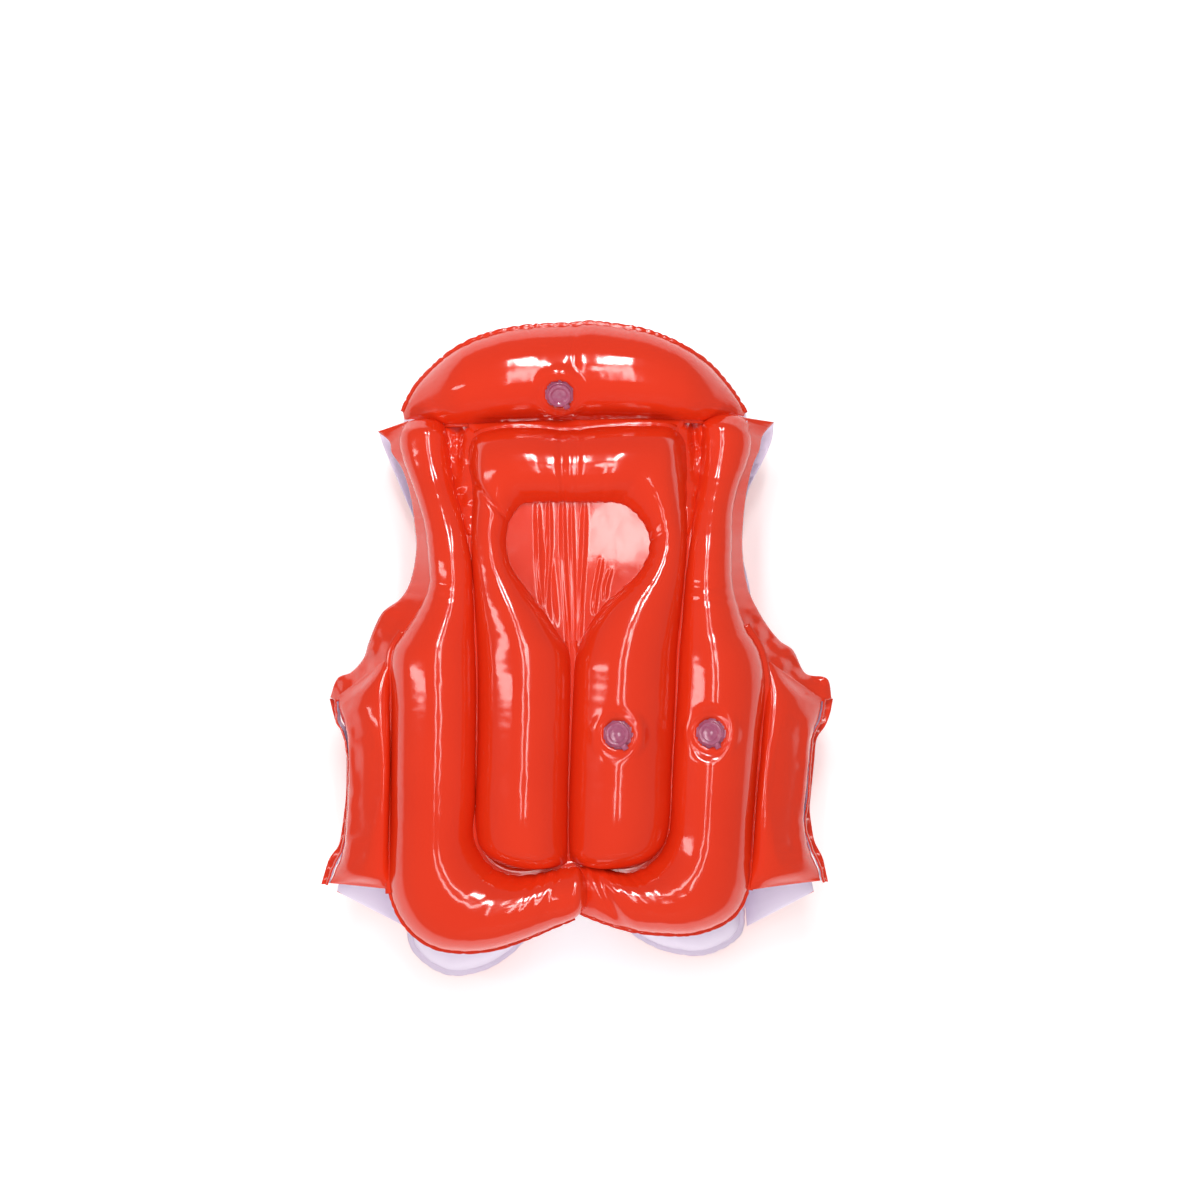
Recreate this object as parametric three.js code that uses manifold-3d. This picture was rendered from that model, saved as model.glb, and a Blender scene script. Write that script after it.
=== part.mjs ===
// Child's inflatable life jacket, lying on its front: a back panel of welded film with an outer and a
// centre air chamber, a head-rest collar on a film hinge, two front halves, three push-in valves and
// two side-release buckles on webbing. Millimetres: +X across, +Y to the collar, +Z up out of the back.
import * as THREE from "three";
import { mergeVertices } from "three/addons/utils/BufferGeometryUtils.js";
import Module from "manifold-3d";

const wasm = await Module();
wasm.setup();

// ---- driving dimensions ----
const VEST_WIDTH = 398; // over the side seams
const VEST_LENGTH = 505; // hem of the front halves to the top of the collar
const FRONT_THICKNESS = 50; // fattest tube of a front half
const BACK_THICKNESS = 60; // fattest tube of the back panel
const TORSO_GAP = 42; // from the front halves to the back panel, lying down
const INNER_TUBE_THICKNESS = 30;
const COLLAR_THICKNESS = 54;
const SIDE_CELL_THICKNESS = 30;
const BULGE = 0.9; // thickness of a tube as a share of its width, while it is under the fattest
const BACK_SAG = 10; // fall of the back panel's mid-surface at the side welds
const SHOULDER_DROP = 34; // fall of the shoulder tubes towards the shoulder seams
const YOKE_DROP = 12; // fall of the yoke towards the collar
const COLLAR_DROP = 20; // fall of the collar's middle below the back panel's
const FRONT_LIFT = 26; // rise of a front half towards the shoulder seam
const SIDE_FILM_HEIGHT = 28; // flat film between the two side cells
const FOLD_LINE = 171.5; // where the collar's film folds, along the vest
const FOLD_WIDTH = 150; // of the film that carries the collar
const FOLD_GAP = 0.5; // each side of the fold line
const SHOULDER_FILM_HALF = 13; // half the width of the film over a shoulder seam
const SIDE_CELL_TAPER = 50; // run over which a side cell narrows at each end
const SIDE_CELL_END = 0.8; // its width there, as a share of the full one
const FILM = 0.8; // both films, welded
const CLEARANCE = 0.3; // between pieces that touch

const VALVE_FLANGE_RADIUS = 15.5;
const VALVE_WALL = 1.2;
const VALVE_WELL_DEPTH = 16;
const SEAT_DEPTH = 3; // how far a valve's flat seat is let into its chamber
const STEM_BORE = 3.6;
const STEM_WALL = 2.4;
const STEM_GAP = 0.5; // stem to well
const STEM_LENGTH = 13; // below the lip
const STEM_LIP_RADIUS = 10.4;
const STEM_LIP_HEIGHT = 1.6;
const PLUG_RADIUS = 9.2;
const PLUG_HEIGHT = 2.4;
const PLUG_SHANK = 8;

const WEBBING_WIDTH = 20;
const WEBBING_THICKNESS = 1.4;
const STRAP_LEVELS = { lower: -120, upper: -20 }; // along the vest
const STRAP_ANCHOR = 79; // outer end of the webbing, from the centre
const PATCH_LENGTH = 28;
const PATCH_MARGIN = 4; // how far a patch stands out past the webbing, each side
const PATCH_THICKNESS = 1;
const LOOP_LENGTH = 16; // of the webbing's loop, past the buckle's bar
const LOOP_OPEN = 0.7; // share of the loop that stands open
const BAR_PLACE = 33; // buckle bars, from the centre
const BAR_RADIUS = 1.8;
const BAR_GAP = 0.4; // bar to webbing
const BUCKLE_THICKNESS = 9;
const BUCKLE_WALL = 2;
const RAIL_GAP = 0.6; // webbing to the rails that hold the bar
const BAR_TO_BODY = 6;
const FEMALE_LENGTH = 27; // bar to mouth
const MALE_BLOCK = 7; // length of the male half's shoulder
const MALE_LENGTH = 32; // bar to the tips of the prongs
const PRONG_WIDTH = 4;
const PRONG_BARB = 2.6; // how far a barb stands out past its prong
const PRONG_CLEARANCE = 0.4; // prong to socket
const BARB = { root: 0.3, start: 0.35, end: 0.7 }; // shares of the prong's reach
const WINDOW = { inner: 0.75, outer: 0.3 }; // of the female half, in the same shares from its mouth
const GUIDE_WIDTH = 2.6;
const GUIDE_SHORT = 3; // the guide ends before the prongs' tips
const OVERLAP = 1; // of solids that are joined, or of a cutter past a face

// ---- derived sizes ----
const FRONT_MID = FRONT_THICKNESS / 2;
const BACK_MID = FRONT_THICKNESS + TORSO_GAP + BACK_THICKNESS / 2;
const SEAM_MID = (FRONT_MID + BACK_MID) / 2;
const WELL_RADIUS = STEM_BORE + STEM_WALL + STEM_GAP;
const HANDS = { left: -1, right: 1 };
const Z = new THREE.Vector3(0, 0, 1);

// The outlines are drawn for this width and length, and stretch with the driving dimensions.
const DRAWN = { width: 398, length: 505 };
const stretch = new THREE.Vector3(VEST_WIDTH / DRAWN.width, VEST_LENGTH / DRAWN.length, 1);

const backMid = (x, y) => {
  const shoulder = THREE.MathUtils.smoothstep(Math.abs(x), 70, 100);
  const drop = THREE.MathUtils.lerp(YOKE_DROP, SHOULDER_DROP, shoulder);
  return BACK_MID - BACK_SAG * (x / 142) ** 2 - drop * THREE.MathUtils.smoothstep(y, 60, 185);
};
const frontMid = (_, y) => FRONT_MID + FRONT_LIFT * THREE.MathUtils.smoothstep(y, 60, 180);
const collarMid = (x) => BACK_MID - COLLAR_DROP - 8 * (x / 130) ** 2;
const FOLD_HEIGHT = backMid(FOLD_WIDTH / 4, FOLD_LINE);

// ---- solids ----
function solid(geometry) {
  const bare = geometry.clone();
  bare.deleteAttribute("normal");
  bare.deleteAttribute("uv");
  const merged = mergeVertices(bare, 1e-4);
  const index = merged.index.array;
  const kept = [];
  for (let i = 0; i < index.length; i += 3) {
    const [a, b, c] = index.slice(i, i + 3);
    if (a !== b && b !== c && a !== c) kept.push(a, b, c);
  }
  const vertProperties = merged.attributes.position.array;
  return new wasm.Manifold(new wasm.Mesh({ numProp: 3, vertProperties, triVerts: new Uint32Array(kept) }));
}

const join = (first, ...rest) => rest.reduce((whole, piece) => whole.add(piece), first);
const cut = (first, ...rest) => rest.reduce((whole, piece) => whole.subtract(piece), first);

function geometryOf(shape) {
  const { numProp, vertProperties, triVerts } = shape.getMesh();
  const positions = new Float32Array(triVerts.length * 3);
  triVerts.forEach((v, i) => positions.set(vertProperties.subarray(v * numProp, v * numProp + 3), i * 3));
  const geometry = new THREE.BufferGeometry();
  geometry.setAttribute("position", new THREE.BufferAttribute(positions, 3));
  geometry.computeVertexNormals();
  return geometry;
}

function box([x0, y0, z0], [x1, y1, z1]) {
  const geometry = new THREE.BoxGeometry(x1 - x0, y1 - y0, z1 - z0);
  return solid(geometry.translate((x0 + x1) / 2, (y0 + y1) / 2, (z0 + z1) / 2));
}

// A closed profile of [radius, height] points, anticlockwise, turned about Z.
const turned = (profile, segments = 18) => {
  const points = profile.map(([r, z]) => new THREE.Vector2(r, z));
  return solid(new THREE.LatheGeometry([...points, points[0]], segments).rotateX(Math.PI / 2));
};
const disc = (radius, z0, z1) => turned([[0, z0], [radius, z0], [radius, z1], [0, z1]]);
const rod = (radius, y0, y1) =>
  solid(new THREE.CylinderGeometry(radius, radius, y1 - y0, 12).translate(0, (y0 + y1) / 2, 0));

// A flat outline in X and Z, carried across the width in Y.
const across = (shape, width) =>
  solid(new THREE.ExtrudeGeometry(shape, { depth: width, bevelEnabled: false, curveSegments: 6 })
    .rotateX(Math.PI / 2).translate(0, width / 2, 0));

// ---- inflated tubes and flat film ----
// Height of a section made of two arcs that meet at the welds, at u = -1 ... 1 of its half width.
function arcHeight(u, halfWidth, halfHeight) {
  const radius = (halfWidth ** 2 + halfHeight ** 2) / (2 * halfHeight);
  return Math.sqrt(Math.max(0, radius ** 2 - (u * halfWidth) ** 2)) - (radius - halfHeight);
}

// The run of a tube: its frame and half sizes at a share t of its stations. A station is
// [x, y, half width, roll about the run].
function runOf({ stations, mid, thickness }) {
  const centre = new THREE.CatmullRomCurve3(stations.map(([x, y]) => new THREE.Vector3(x, y, mid(x, y))));
  const sizes = new THREE.CatmullRomCurve3(
    stations.map(([, , halfWidth, roll]) => new THREE.Vector3(halfWidth, roll, 0)),
  );
  const at = (t) => {
    const tangent = centre.getTangent(t);
    const { x: halfWidth, y: roll } = sizes.getPoint(t);
    const side = new THREE.Vector3().crossVectors(tangent, Z).normalize().applyAxisAngle(tangent, roll);
    const up = new THREE.Vector3().crossVectors(side, tangent);
    const halfHeight = Math.min(thickness / 2, BULGE * halfWidth);
    return { point: centre.getPoint(t), side, up, halfWidth, halfHeight };
  };
  return { centre, at };
}

// A capsule bent along the run, with a section of two arcs.
function tube(spec) {
  const { centre, at } = runOf(spec);
  const { sides = 12, steps = 10, capSteps = 3 } = spec;
  const length = centre.getLength();
  const end = Math.min(at(0).halfWidth, at(1).halfWidth);
  const geometry = new THREE.CapsuleGeometry(end, length - 2 * end, capSteps, sides, steps);
  const position = geometry.attributes.position;
  for (let i = 0; i < position.count; i++) {
    const share = THREE.MathUtils.clamp(position.getY(i) / length + 0.5, 0, 1);
    const { point, side, up, halfWidth, halfHeight } = at(centre.getUtoTmapping(share));
    const reach = Math.hypot(position.getX(i), position.getZ(i)) / end;
    const u = reach > 0 ? position.getX(i) / end / reach : 0;
    point.addScaledVector(side, u * reach * halfWidth);
    point.addScaledVector(up, Math.sign(position.getZ(i)) * arcHeight(u, halfWidth, halfHeight) * reach);
    point.multiply(stretch);
    position.setXYZ(i, point.x, point.y, point.z);
  }
  return solid(geometry);
}

// The room that a tube needs in the film round it.
const roomFor = (spec) =>
  tube({ ...spec, stations: spec.stations.map(([x, y, w, roll]) => [x, y, w + 2 * CLEARANCE, roll]) });

// The weld at one edge of a tube, between two shares of its run.
function weldOf(spec, hand, from, to) {
  const { at } = runOf(spec);
  return (s) => {
    const { point, side, halfWidth } = at(THREE.MathUtils.lerp(from, to, s));
    return point.addScaledVector(side, hand * halfWidth);
  };
}

function through(...points) {
  const curve = new THREE.CatmullRomCurve3(points.map((p) => new THREE.Vector3(...p)));
  return (s) => curve.getPoint(s);
}

// Welded film between two edges, in either order, each a function of 0 ... 1, with its thickness
// along an axis.
function film(edgeA, edgeB, axis = "z", steps = 12) {
  const geometry = new THREE.BoxGeometry(1, 1, 1, 1, steps, 1);
  const position = geometry.attributes.position;
  for (let i = 0; i < position.count; i++) {
    const s = position.getY(i) + 0.5;
    const point = edgeA(s).lerp(edgeB(s), position.getX(i) + 0.5).multiply(stretch);
    point[axis] += position.getZ(i) * FILM;
    position.setXYZ(i, point.x, point.y, point.z);
  }
  const sheet = solid(geometry);
  return sheet.volume() > 0 ? sheet : film(edgeB, edgeA, axis, steps);
}

// ---- outlines, for the right side: [x, y, half width] ----
const mirrored = (stations, hand) => stations.map(([x, y, w, roll = 0]) => [hand * x, y, w, hand * roll]);

const outerArm = (hand) => ({
  mid: backMid,
  thickness: BACK_THICKNESS,
  steps: 20,
  stations: mirrored([[117, 181, 15], [115, 160, 19], [107, 128, 19], [101, 92, 16], [98, 60, 15],
    [99, 38, 17], [104, 6, 24], [109, -24, 30], [109, -85, 31], [106, -140, 29], [89, -183, 28],
    [50, -198, 29], [14, -189, 20], [-4, -186, 16]], hand),
});
const centreLeg = (hand) => ({
  mid: backMid,
  thickness: BACK_THICKNESS,
  steps: 14,
  stations: mirrored([[60, 150, 14], [65, 118, 15], [67, 85, 15], [60, 42, 22], [44, 2, 33],
    [38.5, -40, 36], [38.5, -100, 36], [36, -136, 33.5], [34, -167, 26]], hand),
});
const yoke = {
  mid: backMid,
  thickness: BACK_THICKNESS,
  steps: 8,
  stations: mirrored([[-86, 143, 23], [-50, 142, 26], [0, 139, 26], [50, 142, 26], [86, 143, 23]], 1),
};
const collarTube = {
  mid: collarMid,
  thickness: COLLAR_THICKNESS,
  steps: 16,
  stations: mirrored([[-138, 188, 4], [-122, 198, 13], [-92, 207, 26], [-52, 213, 35], [0, 214.5, 38],
    [52, 213, 35], [92, 207, 26], [122, 198, 13], [138, 188, 4]], 1),
};
const frontOuter = (hand) => ({
  mid: frontMid,
  thickness: FRONT_THICKNESS,
  steps: 20,
  stations: mirrored([[118, 176, 14], [115, 150, 18], [108, 120, 18], [102, 80, 17], [99, 40, 18],
    [101, 0, 25], [103, -50, 28], [103, -140, 28], [99, -195, 32], [96, -252.5, 26]], hand),
});
const frontFoot = (hand) => ({
  mid: frontMid,
  thickness: FRONT_THICKNESS,
  steps: 5,
  stations: mirrored([[100, -218, 22], [76, -216, 26], [40, -208, 20]], hand),
});
const frontInner = (hand) => ({
  mid: frontMid,
  thickness: INNER_TUBE_THICKNESS,
  stations: mirrored([[77, 112, 8], [67, 84, 13], [58, 50, 17], [55, 0, 18], [55, -120, 18],
    [54, -178, 15]], hand),
});

// A side cell lies along Y between two welds, each [x, z].
function sideCell(hand, [xa, za], [xb, zb], top, bottom) {
  const halfWidth = Math.hypot(xb - xa, zb - za) / 2;
  const roll = Math.atan2(zb - za, xb - xa);
  const x = (xa + xb) / 2;
  return {
    mid: () => (za + zb) / 2,
    thickness: SIDE_CELL_THICKNESS,
    steps: 4,
    stations: mirrored([[x, top, SIDE_CELL_END * halfWidth, roll], [x, top - SIDE_CELL_TAPER, halfWidth, roll],
      [x, bottom + SIDE_CELL_TAPER, halfWidth, roll], [x, bottom, SIDE_CELL_END * halfWidth, roll]], hand),
  };
}
const SIDE_EDGE = 184; // where the side cells meet the flat side film
const backWeld = [142, backMid(142, 0)];
const frontWeld = [135, FRONT_MID];
const backSideCell = (hand) =>
  sideCell(hand, backWeld, [SIDE_EDGE, SEAM_MID + SIDE_FILM_HEIGHT / 2], -8, -186);
const frontSideCell = (hand) =>
  sideCell(hand, frontWeld, [SIDE_EDGE, SEAM_MID - SIDE_FILM_HEIGHT / 2], -20, -200);

// ---- flat film: the shares of each run that it is welded along, and its free edges ----
const FILM_RUNS = {
  window: [0.1, 0.96], // of each centre leg
  yoke: { leg: [0.12, 0.34], arm: [0.16, 0.33] },
  armhole: [0.02, 0.45], // of the outer arm
  side: [-194, -24], // along the vest
};
const ARMHOLE_EDGE = [[156, 178], [143, 152], [134, 120], [127, 85], [126, 60], [132, 36], [144, 16], [153, 2]];
const SIDE_SEAM_EDGE = [[199, -186], [189, -160], [187, -110], [188, -60], [199, -22]];

// ---- valves, each about its own axis, with the seat at height 0 ----
// Where an axis leaves a tube: on the flat seat, with Z along the surface's normal.
function valvePlace(spec, x, y) {
  const { at, centre } = runOf(spec);
  const shares = Array.from({ length: 801 }, (_, i) => i / 800);
  const away = (t) => Math.hypot(centre.getPoint(t).x - x, centre.getPoint(t).y - y);
  const { point, side, up, halfWidth, halfHeight } = at(shares.reduce((a, b) => (away(b) < away(a) ? b : a)));
  const offset = new THREE.Vector3(x - point.x, y - point.y, 0).dot(side);
  const height = arcHeight(offset / halfWidth, halfWidth, halfHeight);
  const radius = (halfWidth ** 2 + halfHeight ** 2) / (2 * halfHeight);
  const normal = side.clone().multiplyScalar(offset).addScaledVector(up, height + radius - halfHeight);
  normal.normalize();
  point.addScaledVector(side, offset).addScaledVector(up, height).multiply(stretch);
  point.addScaledVector(normal, -SEAT_DEPTH);
  return new THREE.Matrix4()
    .makeRotationFromQuaternion(new THREE.Quaternion().setFromUnitVectors(Z, normal))
    .setPosition(point);
}

const BASE_TOP = CLEARANCE + VALVE_WALL;
const LIP_BOTTOM = BASE_TOP + CLEARANCE;
const LIP_TOP = LIP_BOTTOM + STEM_LIP_HEIGHT;
const PLUG_BOTTOM = LIP_TOP + CLEARANCE;

const valveRoom = () =>
  join(
    disc(VALVE_FLANGE_RADIUS + CLEARANCE, 0, BACK_THICKNESS / 3),
    disc(WELL_RADIUS + VALVE_WALL + CLEARANCE, -VALVE_WELL_DEPTH - CLEARANCE, 1),
  );
const valveBase = () =>
  turned([[WELL_RADIUS, -VALVE_WELL_DEPTH], [WELL_RADIUS + VALVE_WALL, -VALVE_WELL_DEPTH],
    [WELL_RADIUS + VALVE_WALL, CLEARANCE], [VALVE_FLANGE_RADIUS, CLEARANCE],
    [VALVE_FLANGE_RADIUS, BASE_TOP], [WELL_RADIUS, BASE_TOP]]);
const valveStem = () =>
  turned([[STEM_BORE, LIP_BOTTOM - STEM_LENGTH], [STEM_BORE + STEM_WALL, LIP_BOTTOM - STEM_LENGTH],
    [STEM_BORE + STEM_WALL, LIP_BOTTOM], [STEM_LIP_RADIUS, LIP_BOTTOM], [STEM_LIP_RADIUS, LIP_TOP],
    [STEM_BORE, LIP_TOP]]);
const valvePlug = () =>
  turned([[0, PLUG_BOTTOM - PLUG_SHANK], [STEM_BORE - CLEARANCE, PLUG_BOTTOM - PLUG_SHANK],
    [STEM_BORE - CLEARANCE, PLUG_BOTTOM], [PLUG_RADIUS, PLUG_BOTTOM],
    [PLUG_RADIUS, PLUG_BOTTOM + PLUG_HEIGHT], [0, PLUG_BOTTOM + PLUG_HEIGHT]]);

const VALVE_PLACES = {
  centre: valvePlace(centreLeg(1), 33, -64.4),
  outer: valvePlace(outerArm(1), 104, -64.4),
  collar: valvePlace(collarTube, -11.7, 196),
};
const withRoom = (chamber, place) =>
  cut(chamber, solid(geometryOf(valveRoom()).applyMatrix4(place)));

// ---- straps and buckles, on the outside of the front halves ----
const PATCH_TOP = FRONT_MID - INNER_TUBE_THICKNESS / 2 - CLEARANCE;
const WEBBING_TOP = PATCH_TOP - PATCH_THICKNESS - CLEARANCE;
const WEBBING_BOTTOM = WEBBING_TOP - WEBBING_THICKNESS;
const LOOP_INSIDE = BAR_RADIUS + BAR_GAP;
const BAR_HEIGHT = WEBBING_BOTTOM - LOOP_INSIDE;
const HALF_WEBBING = WEBBING_WIDTH / 2;
const HALF_BUCKLE = HALF_WEBBING + RAIL_GAP + BUCKLE_WALL;

// Webbing from its anchor to the bar, and round it: drawn with the bar at X = 0 and the anchor in +X.
function webbing() {
  const length = STRAP_ANCHOR * stretch.x - BAR_PLACE;
  const outside = LOOP_INSIDE + WEBBING_THICKNESS;
  const shape = new THREE.Shape();
  shape.moveTo(length, outside);
  shape.lineTo(0, outside);
  shape.absarc(0, 0, outside, Math.PI / 2, 1.5 * Math.PI, false);
  shape.lineTo(LOOP_LENGTH, LOOP_INSIDE);
  shape.lineTo(length, LOOP_INSIDE);
  shape.closePath();
  const loop = new THREE.Path();
  loop.moveTo(0, LOOP_INSIDE);
  loop.absarc(0, 0, LOOP_INSIDE, Math.PI / 2, 1.5 * Math.PI, false);
  loop.lineTo(LOOP_LENGTH * LOOP_OPEN, LOOP_INSIDE);
  loop.closePath();
  shape.holes.push(loop);
  return across(shape, WEBBING_WIDTH);
}

function patch() {
  const half = HALF_WEBBING + PATCH_MARGIN;
  const middle = STRAP_ANCHOR * stretch.x - PATCH_LENGTH / 2;
  const geometry = new THREE.CylinderGeometry(1, 1, PATCH_THICKNESS, 20).rotateX(Math.PI / 2);
  geometry.scale(PATCH_LENGTH / 2, half, 1).translate(middle, 0, PATCH_TOP - PATCH_THICKNESS / 2);
  return solid(geometry);
}

// Both halves are drawn with the bar along Y at the origin and the body in +X.
function barAndRails() {
  const bar = rod(BAR_RADIUS, -HALF_BUCKLE, HALF_BUCKLE);
  const rail = (hand) => {
    const faces = [hand * (HALF_WEBBING + RAIL_GAP), hand * HALF_BUCKLE].sort((a, b) => a - b);
    return box([-BAR_RADIUS, faces[0], -BAR_RADIUS], [BAR_TO_BODY + OVERLAP, faces[1], BAR_RADIUS]);
  };
  return join(bar, rail(-1), rail(1));
}
const SOCKET = { halfWidth: HALF_BUCKLE - BUCKLE_WALL, halfHeight: BUCKLE_THICKNESS / 2 - BUCKLE_WALL };
const PRONG_ROOT = BAR_TO_BODY + MALE_BLOCK;
const PRONG_REACH = MALE_LENGTH - PRONG_ROOT;

function femaleHalf() {
  const height = BUCKLE_THICKNESS / 2;
  const body = box([BAR_TO_BODY, -HALF_BUCKLE, -height], [FEMALE_LENGTH, HALF_BUCKLE, height]);
  const { halfWidth, halfHeight } = SOCKET;
  const socket = box([BAR_TO_BODY - OVERLAP, -halfWidth, -halfHeight],
    [FEMALE_LENGTH + OVERLAP, halfWidth, halfHeight]);
  const window = box([FEMALE_LENGTH - PRONG_REACH * WINDOW.inner, -HALF_BUCKLE - OVERLAP, -halfHeight],
    [FEMALE_LENGTH - PRONG_REACH * WINDOW.outer, HALF_BUCKLE + OVERLAP, halfHeight]);
  return cut(join(body, barAndRails()), socket, window);
}
function maleHalf() {
  const height = BUCKLE_THICKNESS / 2;
  const block = box([BAR_TO_BODY, -HALF_BUCKLE, -height], [PRONG_ROOT, HALF_BUCKLE, height]);
  const guideHeight = SOCKET.halfHeight - PRONG_CLEARANCE;
  const guide = box([PRONG_ROOT - OVERLAP, -GUIDE_WIDTH / 2, -guideHeight],
    [MALE_LENGTH - GUIDE_SHORT, GUIDE_WIDTH / 2, guideHeight]);
  return join(block, guide, barAndRails());
}
// A prong springs from the male half's shoulder, and its barb stands out to its own side.
const PRONG_PLACE = SOCKET.halfWidth - PRONG_CLEARANCE - PRONG_WIDTH / 2;
function prong(hand) {
  const height = SOCKET.halfHeight - PRONG_CLEARANCE;
  const half = PRONG_WIDTH / 2;
  const start = PRONG_ROOT + CLEARANCE;
  const along = (share) => PRONG_ROOT + PRONG_REACH * share;
  const shape = new THREE.Shape([[start, -half], [MALE_LENGTH - half, -half], [MALE_LENGTH, 0],
    [along(BARB.end), half + PRONG_BARB], [along(BARB.start), half + PRONG_BARB],
    [along(BARB.root), half], [start, half]].map(([x, y]) => new THREE.Vector2(x, y)));
  const geometry = new THREE.ExtrudeGeometry(shape, { depth: 2 * height, bevelEnabled: false });
  geometry.translate(0, PRONG_PLACE, -height);
  return hand > 0 ? solid(geometry) : solid(geometry.rotateX(Math.PI));
}

// ---- materials ----
const material = (color, roughness) => new THREE.MeshStandardMaterial({ color, roughness, metalness: 0 });
const OUTER_FILM = material("#e83c22", 0.18);
const PALE_FILM = material("#e0d0e4", 0.3);
const CLEAR_VINYL = material("#9a5080", 0.15);
const WEBBING = material("#1d1d22", 0.85);
const ACETAL = material("#16161a", 0.4);

// ---- assembly ----
const vest = new THREE.Group();

function add(parent, name, shape, finish) {
  const mesh = new THREE.Mesh(geometryOf(shape), finish);
  mesh.name = name;
  parent.add(mesh);
  return mesh;
}

function addValve(parent, name) {
  const pieces = { base: valveBase, stem: valveStem, plug: valvePlug };
  for (const [piece, make] of Object.entries(pieces))
    add(parent, `${name}_valve_${piece}`, make(), CLEAR_VINYL).applyMatrix4(VALVE_PLACES[name]);
}

function addBackPanel() {
  const outer = join(tube(outerArm(-1)), tube(outerArm(1)));
  add(vest, "back_outer_chamber", withRoom(outer, VALVE_PLACES.outer), OUTER_FILM);
  const centre = join(tube(centreLeg(-1)), tube(centreLeg(1)), tube(yoke));
  add(vest, "back_centre_chamber", withRoom(centre, VALVE_PLACES.centre), OUTER_FILM);
  add(vest, "window_film", windowFilm(), OUTER_FILM);
  add(vest, "neck_film", neckFilm(), OUTER_FILM);
  addValve(vest, "outer");
  addValve(vest, "centre");
  for (const [side, hand] of Object.entries(HANDS)) {
    add(vest, `back_side_cell_${side}`, tube(backSideCell(hand)), OUTER_FILM);
    add(vest, `front_side_cell_${side}`, tube(frontSideCell(hand)), PALE_FILM);
    add(vest, `side_film_${side}`, sideFilm(hand), OUTER_FILM);
    add(vest, `yoke_film_${side}`, yokeFilm(hand), OUTER_FILM);
    add(vest, `armhole_flange_${side}`, armholeFlange(hand), OUTER_FILM);
    add(vest, `shoulder_film_${side}`, shoulderFilm(hand), OUTER_FILM);
  }
}

// Film in the window, and down the weld between the two legs.
function windowFilm() {
  const legs = [centreLeg(-1), centreLeg(1)];
  const sheet = film(...legs.map((leg, i) => weldOf(leg, [-1, 1][i], ...FILM_RUNS.window)), "z", 16);
  return cut(sheet, roomFor(yoke), ...legs.map(roomFor));
}
function yokeFilm(hand) {
  const [leg, arm] = [centreLeg(hand), outerArm(hand)];
  const sheet = film(weldOf(leg, -hand, ...FILM_RUNS.yoke.leg), weldOf(arm, hand, ...FILM_RUNS.yoke.arm));
  return cut(sheet, roomFor(yoke), roomFor(leg), roomFor(arm));
}
function armholeFlange(hand) {
  const arm = outerArm(hand);
  const weld = weldOf(arm, -hand, ...FILM_RUNS.armhole);
  const edge = through(...ARMHOLE_EDGE.map(([x, y]) => [hand * x, y, backMid(x, y)]));
  return cut(film(weld, edge, "z", 14), roomFor(arm));
}
function shoulderFilm(hand) {
  const [back, front] = [outerArm(hand).stations[0], frontOuter(hand).stations[0]];
  const step = CLEARANCE + FILM / 2;
  const ends = [back[0] - SHOULDER_FILM_HALF, back[0] + SHOULDER_FILM_HALF];
  const top = through(...ends.map((x) => [x, back[1] + step, backMid(back[0], back[1])]));
  const bottom = through(...ends.map((x) => [x, front[1] + step, frontMid(front[0], front[1])]));
  return film(bottom, top, "y", 4);
}
function sideFilm(hand) {
  const x = hand * (SIDE_EDGE + CLEARANCE + FILM / 2);
  const line = (z) => through(...FILM_RUNS.side.map((y) => [x, y, z]));
  const wall = film(line(SEAM_MID - SIDE_FILM_HEIGHT / 2), line(SEAM_MID + SIDE_FILM_HEIGHT / 2), "x", 4);
  const edge = through(...SIDE_SEAM_EDGE.map(([across, along]) => [hand * across, along, SEAM_MID]));
  return join(wall, film(line(SEAM_MID), edge));
}

// The shares of a run across the vest that face the film under the collar.
function sharesAcross(spec) {
  const { centre } = runOf(spec);
  const shares = Array.from({ length: 201 }, (_, i) => i / 200);
  const facing = shares.filter((t) => Math.abs(centre.getPoint(t).x) <= FOLD_WIDTH / 2);
  return [facing[0], facing.at(-1)];
}
function foldLine(step) {
  const half = FOLD_WIDTH / 2;
  return through([-half, FOLD_LINE + step, FOLD_HEIGHT], [half, FOLD_LINE + step, FOLD_HEIGHT]);
}
function neckFilm() {
  const sheet = film(weldOf(yoke, -1, ...sharesAcross(yoke)), foldLine(-FOLD_GAP), "z", 8);
  return cut(sheet, roomFor(yoke));
}

function addCollar() {
  const collar = new THREE.Group();
  vest.add(collar);
  add(collar, "collar_chamber", withRoom(tube(collarTube), VALVE_PLACES.collar), OUTER_FILM);
  const hinge = film(foldLine(FOLD_GAP), weldOf(collarTube, 1, ...sharesAcross(collarTube)), "z", 8);
  add(collar, "collar_hinge_film", cut(hinge, roomFor(collarTube)), OUTER_FILM);
  addValve(collar, "collar");
}

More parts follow.
